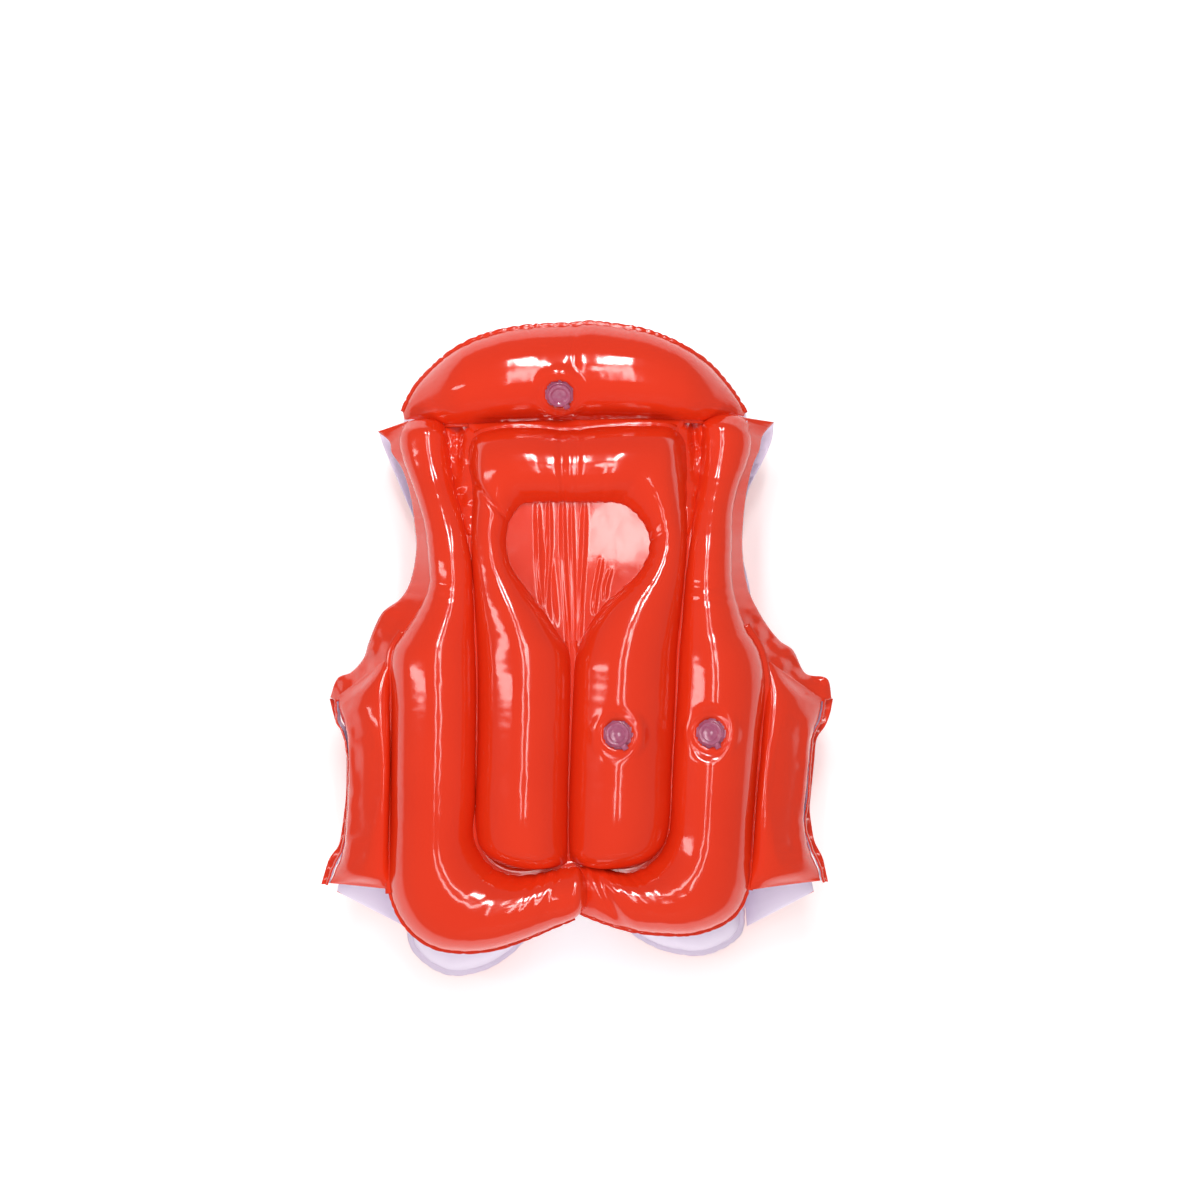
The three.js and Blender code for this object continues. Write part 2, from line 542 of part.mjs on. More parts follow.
function addFrontHalf(side, hand) {
  const half = new THREE.Group();
  vest.add(half);
  const outer = join(tube(frontOuter(hand)), tube(frontFoot(hand)));
  add(half, `front_outer_chamber_${side}`, outer, PALE_FILM);
  add(half, `front_inner_chamber_${side}`, tube(frontInner(hand)), PALE_FILM);
  for (const [level, y] of Object.entries(STRAP_LEVELS)) {
    const strap = new THREE.Group();
    strap.position.set(0, y * stretch.y, 0);
    strap.rotation.z = hand > 0 ? 0 : Math.PI;
    half.add(strap);
    add(strap, `strap_patch_${side}_${level}`, patch(), OUTER_FILM);
    add(strap, `webbing_${side}_${level}`, webbing(), WEBBING).position.set(BAR_PLACE, 0, BAR_HEIGHT);
    const buckle = new THREE.Group();
    buckle.position.set(BAR_PLACE, 0, BAR_HEIGHT);
    buckle.rotation.z = Math.PI;
    strap.add(buckle);
    if (side === "left") addMaleHalf(buckle, level);
    else add(buckle, `buckle_female_${level}`, femaleHalf(), ACETAL);
  }
}

function addMaleHalf(buckle, level) {
  add(buckle, `buckle_male_${level}`, maleHalf(), ACETAL);
  add(buckle, `buckle_prong_${level}_a`, prong(1), ACETAL);
  add(buckle, `buckle_prong_${level}_b`, prong(-1), ACETAL);
}

addBackPanel();
addCollar();
for (const [side, hand] of Object.entries(HANDS)) addFrontHalf(side, hand);

// The jacket lies on its lowest point, with the origin under the middle of its box.
const lifeJacket = new THREE.Group();
lifeJacket.add(vest);
const extent = new THREE.Box3().setFromObject(vest, true);
const middle = extent.getCenter(new THREE.Vector3());
vest.position.set(-middle.x, -middle.y, -extent.min.z);

export default lifeJacket;
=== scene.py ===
# %% [markdown]
# # A child's inflatable life jacket
# The jacket is cut from two layers of soft PVC film, printed orange outside and left pale inside, and welded
# along lines that divide it into air chambers. Lying on its front, it shows its back panel: an outer chamber
# that runs down both sides and across the hem, a centre chamber with a flat window in it, and a head-rest
# collar. This lesson makes each chamber the way air does: flat film between two welds, blown up as cloth.

# %% Frame
import math
import bpy
import bmesh
import numpy as np
from mathutils import Matrix, Vector


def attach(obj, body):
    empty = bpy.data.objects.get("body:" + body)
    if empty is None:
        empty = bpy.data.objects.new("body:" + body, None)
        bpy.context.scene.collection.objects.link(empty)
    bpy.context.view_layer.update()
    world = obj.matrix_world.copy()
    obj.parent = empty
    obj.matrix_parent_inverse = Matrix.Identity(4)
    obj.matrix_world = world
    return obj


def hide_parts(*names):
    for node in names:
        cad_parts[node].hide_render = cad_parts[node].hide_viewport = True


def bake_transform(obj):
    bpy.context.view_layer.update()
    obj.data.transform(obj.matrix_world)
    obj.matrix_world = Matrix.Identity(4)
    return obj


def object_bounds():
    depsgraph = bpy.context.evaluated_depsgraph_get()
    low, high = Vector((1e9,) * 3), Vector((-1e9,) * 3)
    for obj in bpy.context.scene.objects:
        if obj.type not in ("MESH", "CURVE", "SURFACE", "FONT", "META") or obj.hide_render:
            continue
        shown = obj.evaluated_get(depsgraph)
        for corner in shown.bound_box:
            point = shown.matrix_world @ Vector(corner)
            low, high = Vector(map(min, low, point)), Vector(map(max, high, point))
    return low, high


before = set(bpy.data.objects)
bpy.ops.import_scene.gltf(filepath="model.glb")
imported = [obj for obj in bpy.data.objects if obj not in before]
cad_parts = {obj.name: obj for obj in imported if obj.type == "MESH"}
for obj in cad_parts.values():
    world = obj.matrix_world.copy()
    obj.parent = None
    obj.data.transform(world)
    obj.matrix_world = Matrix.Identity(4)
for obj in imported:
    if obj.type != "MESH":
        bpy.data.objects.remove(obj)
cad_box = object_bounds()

MM = 0.001
print("CAD box in mm:", [[round(v * 1000, 1) for v in corner] for corner in cad_box])

# %% [markdown]
# ## Measures that the panels share
# Every panel lies on one of three surfaces: the back panel's middle, which falls to the sides and to the
# shoulders, the front halves' middle, and the collar's. A weld is drawn in plan, and these give its height.

# %% Heights of the welds
BACK_MID = 122.0
FRONT_MID = 25.0
SEAM_MID = 73.5


def smooth(value, low, high):
    share = np.clip((value - low) / (high - low), 0, 1)
    return share * share * (3 - 2 * share)


def back_height(x, y):
    drop = 12 + 22 * smooth(abs(x), 70, 100)
    shoulder = 9 * smooth(abs(x), 85, 105) * smooth(y, 130, 180)
    return BACK_MID - 10 * (x / 142) ** 2 - drop * smooth(y, 60, 185) + shoulder


def front_height(x, y):
    return FRONT_MID + 26 * smooth(y, 60, 180) + 0 * x


def collar_height(x, y):
    return BACK_MID - 20 - 8 * (x / 130) ** 2 - 17 * smooth(abs(x), 84, 132) + 0 * y


def back_side_height(x, y):
    return 112 - 24.5 * (abs(x) - 142) / 42 + 0 * y


def front_side_height(x, y):
    return 25 + 34.5 * (abs(x) - 135) / 49 + 0 * y


# %% [markdown]
# ## Colours and nodes
# Colours are kept as the sRGB values a swatch would have, and one function makes them linear. One more adds
# a node with its settings and its links, so that each material below reads as a recipe.

# %% Node helpers
def linear(hex_colour):
    channels = [int(hex_colour[i:i + 2], 16) / 255 for i in (1, 3, 5)]
    return [c / 12.92 if c <= 0.04045 else ((c + 0.055) / 1.055) ** 2.4 for c in channels] + [1.0]


def add_node(tree, kind, values=None, links=None, **settings):
    node = tree.nodes.new(kind)
    for name, value in settings.items():
        setattr(node, name, value)
    for name, value in (values or {}).items():
        node.inputs[name].default_value = value
    for name, source in (links or {}).items():
        tree.links.new(source, node.inputs[name])
    return node


def new_material(name, slot_values):
    material = bpy.data.materials.new(name)
    material.use_nodes = True
    tree = material.node_tree
    surface = tree.nodes["Principled BSDF"]
    for socket, value in slot_values.items():
        surface.inputs[socket].default_value = value
    place = add_node(tree, "ShaderNodeTexCoord")
    return material, tree, surface, place.outputs["Object"]


# %% [markdown]
# ## Calendered PVC film
# Pool-toy film is PVC rolled between polished rollers, so it is smooth and glossy, with a slight haze and
# faint flow lines. The outer side carries an orange-red print. A noise a hand's breadth wide shifts the
# colour a little, as ink does, and a fine one changes the gloss, so highlights are not mirror-clean.

# %% Film materials
def film_material(name, light, dark, roughness, coat):
    material, tree, surface, place = new_material(name, {
        "IOR": 1.53, "Coat Weight": coat, "Coat Roughness": 0.06})
    broad = add_node(tree, "ShaderNodeTexNoise", {"Scale": 14, "Detail": 3, "Roughness": 0.5},
                     {"Vector": place})
    tint = add_node(tree, "ShaderNodeMix", {"A": linear(light), "B": linear(dark)},
                    {"Factor": broad.outputs["Fac"]}, data_type="RGBA")
    tree.links.new(tint.outputs["Result"], surface.inputs["Base Color"])
    haze = add_node(tree, "ShaderNodeTexNoise", {"Scale": 90, "Detail": 4}, {"Vector": place})
    gloss = add_node(tree, "ShaderNodeMapRange", {"To Min": roughness * 0.8, "To Max": roughness * 1.3},
                     {"Value": haze.outputs["Fac"]})
    tree.links.new(gloss.outputs["Result"], surface.inputs["Roughness"])
    ripple = add_node(tree, "ShaderNodeTexNoise", {"Scale": 45, "Detail": 2, "Roughness": 0.45},
                      {"Vector": place})
    peel = add_node(tree, "ShaderNodeBump", {"Strength": 0.18, "Distance": 0.0012},
                    {"Height": ripple.outputs["Fac"]})
    tree.links.new(peel.outputs["Normal"], surface.inputs["Normal"])
    return material


orange_film = film_material("Calendered PVC film, orange print", "#E83716", "#DE2F10", 0.1, 0.2)
pale_film = film_material("Calendered PVC film, pale inside", "#F2E4F5", "#E9D9EE", 0.3, 0.15)
print("materials:", orange_film.name, "|", pale_film.name)

# %% [markdown]
# ## Curves through measured points
# A panel is drawn as rungs, like a ladder laid along the chamber: each rung joins the weld on one side to
# the weld on the other. A Catmull-Rom curve passes through every point, so the rails of the ladder are the
# real weld lines.

# %% Rails
def catmull(points, shares):
    points = np.asarray(points, float)
    last = len(points) - 1
    padded = np.vstack([2 * points[0] - points[1], points, 2 * points[-1] - points[-2]])
    at = np.clip(np.asarray(shares) * last, 0, last)
    first = np.minimum(at.astype(int), last - 1)
    t = (at - first)[:, None]
    a, b, c, d = (padded[first + k] for k in range(4))
    return 0.5 * (2 * b + (c - a) * t + (2 * a - 5 * b + 4 * c - d) * t ** 2
                  + (3 * b - 3 * c + d - a) * t ** 3)


def run_lengths(*rails):
    steps = sum(np.linalg.norm(np.diff(rail, axis=0), axis=1) for rail in rails) / len(rails)
    return np.r_[0, np.cumsum(steps)]


def even_shares(rungs, spacing, end_rows=0):
    fine = np.linspace(0, 1, 1200)
    along = catmull(rungs, fine)
    lengths = run_lengths(along[:, 0:2], along[:, 2:4])
    marks = np.linspace(0, lengths[-1], max(4, round(lengths[-1] / spacing)) + 1)
    for k in range(end_rows):
        extra = spacing * np.array([0.12, 0.35, 0.65])[k]
        marks = np.r_[marks, extra, lengths[-1] - extra]
    marks = np.unique(np.round(marks, 4))
    return np.interp(marks, lengths, fine), marks


# %% [markdown]
# ## A chamber before the air
# The section of an inflated tube is two arcs that meet at the welds. Film that is caught in a bend has
# nowhere to go and gathers in pleats with sharp valleys, deepest at the weld. `pleats` gives their
# places: random but seeded, so the jacket is the same each time.

# %% Chamber mesh
def pleats(lengths, seed, spacing=9.0):
    rng = np.random.default_rng(seed)
    edges = [-spacing]
    while edges[-1] < lengths[-1] + spacing:
        edges.append(edges[-1] + spacing * rng.uniform(0.55, 1.5))
    edges = np.array(edges)
    depth = rng.uniform(0.35, 1.0, len(edges))
    k = np.searchsorted(edges, lengths) - 1
    share = (lengths - edges[k]) / (edges[k + 1] - edges[k])
    arch = np.sqrt(np.clip(1 - (2 * share - 1) ** 2, 0, 1))
    return (arch - 0.75) * np.where(share < 0.5, depth[k], depth[k + 1])


def amount(table, shares):
    table = np.asarray(table, float)
    return np.interp(shares, table[:, 0], table[:, 1])


def grid_quads(index):
    corners = [index[:-1, :-1], index[1:, :-1], index[1:, 1:], index[:-1, 1:]]
    return np.stack(corners, axis=-1).reshape(-1, 4)


ROW_SPACING = 3.0


def chamber_grid(rungs, height, gathers_a, gathers_b, seed, ends=(14, 14), bow=(0, 0), folds=(), reach=20.0,
                 pitch=9.0):
    """Vertices and faces of one pillow: rungs are (ax, ay, bx, by, half height).

    gathers are (share of the length, pleat depth) along each weld, and folds are (x, y, width, depth, slant).
    """
    shares, lengths = even_shares(rungs, ROW_SPACING, 3)
    rails = catmull(rungs, shares)
    a, b, half = rails[:, 0:2], rails[:, 2:4], rails[:, 4]
    half_width = np.linalg.norm(b - a, axis=1) / 2
    rows, total = len(shares), lengths[-1]
    columns = max(8, round(2 * np.percentile(half_width, 80) * 1.25 / ROW_SPACING))
    for end, distance in ((ends[0], lengths), (ends[1], total - lengths)):
        near = np.clip(distance / end, 0, 1)
        half = half * np.sqrt(np.clip(1 - (1 - near) ** 2, 0, 1))
    v = np.linspace(-1, 1, columns + 1)
    swing = 2 * np.arctan2(np.maximum(half, 0.02), half_width)[:, None]
    across = 0.5 + 0.5 * np.sin(v * swing) / np.sin(swing)
    lift = half[:, None] * (np.cos(v * swing) - np.cos(swing)) / (1 - np.cos(swing))
    plan = a[:, None] * (1 - across[..., None]) + b[:, None] * across[..., None]
    forward = np.gradient((a + b) / 2, axis=0)
    forward /= np.linalg.norm(forward, axis=1)[:, None]
    for size, distance, sign in ((bow[0], lengths, -1), (bow[1], total - lengths, 1)):
        push = sign * size * np.exp(-(distance / 22) ** 2)[:, None] * (1 - v ** 2)[None]
        plan = plan + push[..., None] * forward[:, None]
    seam = height(plan[..., 0], plan[..., 1])
    pleat_a = pleats(run_lengths(a), seed, pitch) * amount(gathers_a, lengths / total)
    pleat_b = pleats(run_lengths(b), seed + 50, pitch) * amount(gathers_b, lengths / total)
    arc = (v + 1)[None] * (half_width[:, None] + half[:, None] * 0.6)
    far = arc[:, ::-1]
    gather = pleat_a[:, None] * np.exp(-(arc / reach)) + pleat_b[:, None] * np.exp(-(far / reach))
    middle = (a + b) / 2
    for x, y, sharp, deep, slant in folds:
        at = lengths[np.argmin((middle[:, 0] - x) ** 2 + (middle[:, 1] - y) ** 2)]
        distance = lengths[:, None] - at - slant * v[None]
        gather = gather - deep * np.exp(-(distance / sharp) ** 2) * np.cos(v * 1.3)[None]
    normal_x = np.sin(v * swing)
    side = (b - a) / (2 * half_width[:, None])
    outward = side[:, None] * (normal_x * gather)[..., None]
    top = np.dstack([plan + outward, seam + lift + np.cos(v * swing) * gather])
    low = np.dstack([plan + outward, seam - lift - np.cos(v * swing) * gather])
    wave = 0.35 * (pleat_a[:, None] * (v < 0) + pleat_b[:, None] * (v > 0))
    for grid in (top, low):
        for j in (0, columns):
            grid[:, j, 2] = seam[:, j] + wave[:, j]
        for i in (0, rows - 1):
            grid[i, :, 2] = seam[i]
    index_top = np.arange(rows * (columns + 1)).reshape(rows, columns + 1)
    inner = np.arange((rows - 2) * (columns - 1)).reshape(rows - 2, columns - 1) + index_top.size
    index_low = index_top.copy()
    index_low[1:-1, 1:-1] = inner
    vertices = np.vstack([top.reshape(-1, 3), low[1:-1, 1:-1].reshape(-1, 3)])
    faces, sides = [], []
    for grid, flip in ((index_top, 0), (index_low, 1)):
        quads = grid_quads(grid)
        faces.append(quads[:, ::-1] if flip else quads)
        sides.append(np.full(len(quads), flip))
    pinned = np.unique(np.r_[index_top[0], index_top[-1], index_top[:, 0], index_top[:, -1]])
    return vertices, np.vstack(faces), np.concatenate(sides), pinned


def make_object(name, vertices, faces, sides, materials):
    mesh = bpy.data.meshes.new(name)
    mesh.from_pydata((np.asarray(vertices) * MM).tolist(), [], np.asarray(faces).tolist())
    for material in materials:
        mesh.materials.append(material)
    mesh.polygons.foreach_set("material_index", np.asarray(sides, np.int32))
    mesh.polygons.foreach_set("use_smooth", np.ones(len(mesh.polygons), bool))
    mesh.update()
    edit = bmesh.new()
    edit.from_mesh(mesh)
    bmesh.ops.recalc_face_normals(edit, faces=edit.faces)
    edit.to_mesh(mesh)
    edit.free()
    piece = bpy.data.objects.new(name, mesh)
    bpy.context.scene.collection.objects.link(piece)
    return piece


def join_grids(*grids):
    vertices, faces, sides, pinned, start = [], [], [], [], 0
    for grid in grids:
        vertices.append(grid[0])
        faces.append(grid[1] + start)
        sides.append(grid[2])
        pinned.append(grid[3] + start)
        start += len(grid[0])
    return np.vstack(vertices), np.vstack(faces), np.concatenate(sides), np.concatenate(pinned)


# %% [markdown]
# ## Blowing the chambers up
# Each chamber is simulated as cloth with air in it: the welds are pinned and gravity is off, so the film
# finds the shape that its slack allows. All the chambers run together, so the frames are stepped once. A
# vertex may move only so far, which keeps neighbours from crossing their weld.

# %% Cloth helpers
AIR_PRESSURE = 20.0
FILM_STIFFNESS = 25
chambers = []


def chamber(name, grids, outside=0, cap=7.0):
    """A pillow with the orange film on top, or beneath for outside=1. Air moves it by cap mm at most."""
    vertices, faces, sides, pinned = join_grids(*grids)
    materials = [orange_film, pale_film] if outside == 0 else [pale_film, orange_film]
    piece = make_object(name, vertices, faces, sides, materials)
    weld = piece.vertex_groups.new(name="weld")
    weld.add(pinned.tolist(), 1.0, "REPLACE")
    chambers.append((piece, cap))
    print(f"{name}: {len(vertices)} vertices")
    return piece


def blow_up(frames=14):
    start = {}
    for piece, _ in chambers:
        start[piece.name] = np.array([v.co for v in piece.data.vertices])
        cloth = piece.modifiers.new("air", "CLOTH")
        film = cloth.settings
        film.quality = 6
        film.mass = 0.2
        film.tension_stiffness = film.compression_stiffness = FILM_STIFFNESS
        film.shear_stiffness = 15
        film.bending_stiffness = 0.6
        film.tension_damping = film.compression_damping = film.shear_damping = 10
        film.bending_damping = 2
        film.air_damping = 6
        film.vertex_group_mass = "weld"
        film.use_pressure = True
        film.uniform_pressure_force = AIR_PRESSURE
        film.effector_weights.gravity = 0
        cloth.point_cache.frame_start = 1
        cloth.point_cache.frame_end = frames + 1
    scene = bpy.context.scene
    for frame_number in range(1, frames + 1):
        scene.frame_set(frame_number)
    depsgraph = bpy.context.evaluated_depsgraph_get()
    for piece, cap in chambers:
        ended = piece.evaluated_get(depsgraph).data
        blown = np.array([v.co for v in ended.vertices])
        piece.modifiers.clear()
        move = blown - start[piece.name]
        far = np.linalg.norm(move, axis=1)
        limit = cap * MM
        held = limit * np.tanh(far / limit) / np.maximum(far, 1e-9)
        piece.data.vertices.foreach_set("co", (start[piece.name] + move * held[:, None]).ravel())
        piece.data.update()
        print(f"{piece.name}: film moved up to {far.max() * 1000:.1f} mm, {far.mean() * 1000:.1f} on average")
    scene.frame_set(1)


def finish_film(piece):
    """Evens out the cloth's small jitter, and rounds the film with one subdivision."""
    calm = piece.modifiers.new("calm", "SMOOTH")
    calm.factor = 0.35
    calm.iterations = 1
    fine = piece.modifiers.new("fine", "SUBSURF")
    fine.levels = fine.render_levels = 1
    depsgraph = bpy.context.evaluated_depsgraph_get()
    mesh = bpy.data.meshes.new_from_object(piece.evaluated_get(depsgraph))
    piece.modifiers.clear()
    piece.vertex_groups.clear()
    piece.data = mesh
    return piece


# %% [markdown]
# ## Back panel, outer chamber
# One long chamber runs from each shoulder, round the armhole and down to the hem, where the two halves of
# it come together at a pinched fold. A ladder of rungs follows it better than a swept circle, because its
# width changes from a thumb's at the shoulder to a hand's at the waist.

# %% Outer chamber
def left_height(x, y):
    """The end of the left arm rides up on the end of the right one at the middle of the hem."""
    return back_height(x, y) + 5 * smooth(x, -20, 6) * smooth(-y, 150, 165)


left_arm = [
    (-133, 177, -107, 179, 11), (-137.5, 168, -99.5, 171, 16), (-137, 155, -97.5, 156, 17),
    (-132, 140, -95.5, 139, 17), (-126, 125, -92, 122, 16), (-117, 97, -86, 100, 15),
    (-113.5, 70, -80, 71, 15.5), (-113, 50, -78.5, 49, 16), (-120, 32, -77.5, 29, 19),
    (-133, 13, -77, 8, 24), (-142.5, -5, -76, -9, 28), (-142.5, -45, -75.5, -43, 30),
    (-143, -90, -76, -82, 30), (-143.5, -135, -76.5, -118, 29), (-144, -165, -78, -142, 28),
    (-143, -190, -74, -155, 28), (-132, -214, -66, -166, 28), (-112, -230, -56, -172, 28),
    (-88, -234.5, -44, -174.5, 28), (-62, -232, -32, -173.5, 26), (-38, -224, -20, -171, 23),
    (-16, -214.5, -8, -168.5, 20), (0, -207.5, 2, -168, 18), (9.5, -198, 10, -176, 12),
]
right_arm = [
    (133, 181, 104, 182.5, 11), (137.5, 171, 98.5, 174, 16), (138, 158, 98, 159, 17),
    (134, 143, 97, 143, 16), (128, 128, 95, 125, 15), (123, 108, 92, 105, 14),
    (122, 85, 89, 85, 15), (121.5, 60, 86, 61, 16), (124, 42, 84, 41, 18),
    (132, 18, 82, 16, 23), (144, -3, 80, -5, 28), (148, -30, 79, -28, 30),
    (144, -70, 77, -62, 30), (141, -105, 75, -98, 29), (138.5, -140, 74, -126, 28),
    (137, -165, 72, -143, 28), (134, -187, 66, -157, 28), (125, -205, 57, -166, 28),
    (110, -215, 48, -171, 27), (90, -220.5, 39, -172.5, 26), (68, -220.5, 30, -171, 24),
    (46, -218, 21, -168.5, 21), (28, -213, 12, -166.5, 17), (13, -207.5, 5, -167, 12),
    (3, -203, -1, -171, 8),
]
ARM_OUTER_GATHERS = [(0, 1.6), (0.12, 0.9), (0.27, 2.4), (0.36, 1.8), (0.42, 0.2), (0.66, 0.2), (0.72, 1.6),
                     (1, 1.8)]
back_outer = chamber("back_outer_film", [
    chamber_grid(left_arm, left_height, seed=11, bow=(2, 2),
                 folds=[(-96, 47, 2.2, 1.3, 2), (-97, 39, 1.8, 1.0, -2), (-117, 173, 3, 2, 4)],
                 gathers_a=ARM_OUTER_GATHERS,
                 gathers_b=[(0, 2.0), (0.12, 0.8), (0.3, 0.4), (0.62, 0.4), (0.72, 1.2), (0.8, 4.2),
                            (1, 4.6)]),
    chamber_grid(right_arm, back_height, seed=23, bow=(2, 2),
                 folds=[(103, 47, 2.2, 1.4, -2), (102, 38, 1.8, 1.1, 2), (119, 176, 3, 2, -4),
                        (26, -192, 4, 4, 3)],
                 gathers_a=ARM_OUTER_GATHERS,
                 gathers_b=[(0, 2.0), (0.12, 1.8), (0.3, 0.4), (0.62, 0.4), (0.72, 1.0), (0.8, 3.6),
                            (1, 4.0)]),
])

# %% [markdown]
# ## Back panel, centre chamber
# Two legs and the yoke above them are one chamber, bent round the window. Where a leg meets the yoke the
# film folds over itself in a crease.

# %% Centre chamber
centre_run = [
    (-68, -161, -5, -165, 20), (-75, -150, -5, -152, 27), (-77.5, -130, -5, -132, 30),
    (-76.5, -100, -4.5, -100, 30), (-75.5, -60, -3.5, -60, 30), (-75.5, -25, -2.5, -22, 29),
    (-76, 0, -4, -2, 27), (-77, 20, -13, 13, 25), (-78, 38, -25, 31, 22), (-79, 55, -38, 48, 18),
    (-80, 72, -48, 62, 15.5), (-80.5, 90, -52.5, 77, 14.5), (-80, 108, -52.5, 90, 14),
    (-80, 124, -49, 101, 16), (-84, 148, -44, 108.5, 20), (-80, 164, -39, 112, 23),
    (-62, 171, -33, 113, 25), (-35, 172.5, -20, 113.5, 26), (-8, 170, -7, 113.5, 25),
    (20, 172.5, 12, 113.5, 26), (50, 174, 27, 113.5, 26), (76, 172, 36, 112, 24),
    (87, 160, 43, 108, 22), (88, 138, 51, 100, 18), (87.5, 116, 56, 91, 15),
    (87.5, 98, 58, 81, 14), (87, 82, 55.5, 70, 15), (86, 64, 47.5, 57, 18),
    (84, 44, 35, 46, 22), (82, 24, 21, 33, 26), (80, 4, 8, 14, 29), (79, -14, 0, -8, 30),
    (78.5, -32, -1.5, -28, 30), (77, -62, -3, -62, 30), (75, -100, -4.5, -100, 30),
    (74, -130, -5.2, -132, 30), (70, -150, -5, -150, 27), (60, -163, -4.5, -163, 20),
]
back_centre = chamber("back_centre_film", [
    chamber_grid(centre_run, back_height, seed=31, bow=(8, 8), reach=17, pitch=7.5,
                 folds=[(-66, 112, 2.4, 4.0, -5), (-9, 140, 1.6, 2.0, 0), (1, 140, 1.3, 0.6, 1)],
                 gathers_a=[(0, 0.8), (0.3, 0.4), (0.38, 1.8), (0.45, 1.4), (0.6, 1.8), (0.68, 1.2),
                            (0.75, 0.4), (1, 0.8)],
                 gathers_b=[(0, 0.3), (0.27, 0.3), (0.38, 1.4), (0.43, 1.0), (0.5, 2.0), (0.58, 4.2),
                            (0.7, 4.0), (0.75, 0.8), (1, 0.3)]),
])

# %% [markdown]
# ## Collar
# The head rest is a single pillow, fattest in the middle and drawn to a point at each end. Its top weld is
# a curve that is longer than the film wants to be, so it is pleated all along.

# %% Collar chamber
collar_run = [
    (-136, 186, -134.5, 178, 2.5), (-129, 200, -126, 176.5, 9), (-120, 212, -112, 175.5, 15),
    (-100, 229, -92, 175, 22), (-80, 240, -74, 175, 25), (-60, 246.5, -56, 175.5, 27),
    (-40, 250, -38, 176, 27), (-20, 251.5, -19, 176.5, 27), (-3, 252, -3, 177, 26.5),
    (12, 253.5, 12, 177.5, 27), (30, 251.5, 30, 178, 27), (50, 248.5, 50, 178, 27),
    (70, 242, 68, 178, 26), (90, 232, 88, 178, 23), (106, 221, 104, 178, 19),
    (120, 206, 118, 178.5, 13), (128, 195, 127, 179.5, 8), (134, 185, 133, 180.5, 2.5),
]
collar = chamber("collar_film", [
    chamber_grid(collar_run, collar_height, seed=43, ends=(8, 8), reach=11, pitch=7.5,
                 folds=[(-2, 225, 3.0, 0.9, 0)],
                 gathers_a=[(0, 0.8), (0.2, 2.4), (0.5, 3.0), (0.8, 2.4), (1, 0.8)],
                 gathers_b=[(0, 0.3), (0.5, 0.5), (1, 0.3)]),
])

# %% [markdown]
# ## Side cells
# Between the outer chamber and the side seam the back panel has one more narrow cell on each side, and the
# front half has the same. They lean down and in towards each other, and the seam that joins them stands out.

# %% Side cells
back_left_cell = [
    (-143, -5, -187, -38, 5), (-143, -22, -185, -51, 15), (-143, -50, -178.5, -68, 19),
    (-143, -85, -176, -90, 19), (-143.5, -115, -176.5, -113, 19), (-144, -140, -178.5, -138, 19),
    (-144, -162, -182, -158, 17), (-143.5, -178, -189, -175, 13), (-142, -187, -194, -185, 5),
]
back_right_cell = [
    (150, -9, 195, -40, 5), (148.5, -28, 192, -54, 15), (146, -52, 185.5, -72, 19),
    (143.5, -82, 183, -92, 19), (141, -110, 181, -115, 19), (139, -138, 179, -136, 19),
    (137.5, -160, 184, -157, 17), (136, -176, 191, -173, 13), (134.5, -187, 194, -183, 5),
]
front_cell = [
    (-135, -18, -184, -42, 5), (-134, -40, -183, -58, 13), (-133, -70, -181, -80, 15),
    (-133, -120, -181, -120, 15), (-133, -160, -182, -150, 15), (-135, -196, -186, -175, 15),
    (-137, -226, -190, -193, 6),
]
FLIP = np.array([-1, 1, -1, 1, 1])


def on_side(rungs, side):
    """Rungs drawn for the left, turned over for the right."""
    table = np.array(rungs, float)
    return table * FLIP if side == "right" else table


back_cells, front_cells = {}, {}
for side, rungs in (("left", back_left_cell), ("right", back_right_cell)):
    back_cells[side] = chamber(f"back_side_cell_film_{side}", [
        chamber_grid(rungs, back_side_height, seed=51, ends=(10, 10),
                     gathers_a=[(0, 2), (0.3, 0.6), (0.7, 0.6), (1, 2)],
                     gathers_b=[(0, 2.2), (0.3, 1.0), (0.7, 1.0), (1, 2.2)]),
    ], cap=4)
for side in ("left", "right"):
    front_cells[side] = chamber(f"front_side_cell_film_{side}", [
        chamber_grid(on_side(front_cell, side), front_side_height, seed=61, ends=(10, 10),
                     gathers_a=[(0, 1.5), (0.3, 0.5), (0.7, 0.5), (1, 1.5)],
                     gathers_b=[(0, 2), (0.3, 0.8), (0.7, 0.8), (1, 2)]),
    ], outside=1, cap=4)

# %% [markdown]
# ## Front halves
# Each front half has a long chamber from the shoulder to the hem, where it turns in along the hem, and a
# slimmer one beside the opening. Their pale inner side faces up, towards the wearer.

# %% Front chambers
front_outer_run = [
    (-132, 177, -106, 178, 10), (-134, 166, -100, 168, 13), (-132, 146, -97, 150, 16),
    (-127, 120, -90, 125, 16), (-120, 95, -85, 98, 15), (-118, 70, -83, 75, 15),
    (-118, 45, -80, 48, 16), (-121, 20, -77, 22, 19), (-128, 0, -75.5, 0, 22),
    (-131, -40, -74, -40, 24), (-132, -90, -74, -90, 25), (-132, -140, -74, -130, 25),
    (-132, -185, -74, -162, 25), (-133, -216, -71, -178, 25), (-129, -243, -63, -186, 25),
    (-104, -261, -51, -190, 25), (-76, -258, -38, -191, 23), (-54, -245, -27, -192, 19),
    (-38, -228, -20, -195, 10),
]
front_inner_run = [
    (-80, 110, -72, 112, 3), (-79, 93, -60, 91, 9), (-77.5, 68, -50, 67, 13),
    (-75, 40, -43, 40, 15), (-73.5, 10, -38, 10, 15), (-72.5, -30, -37, -30, 15),
    (-72.5, -80, -37, -80, 15), (-72.5, -130, -37, -130, 15), (-71, -160, -38, -162, 14),
    (-66, -176, -43, -178, 8),
]
HEM_FROM = -200
RIGHT_HEM_SHARE = 0.74


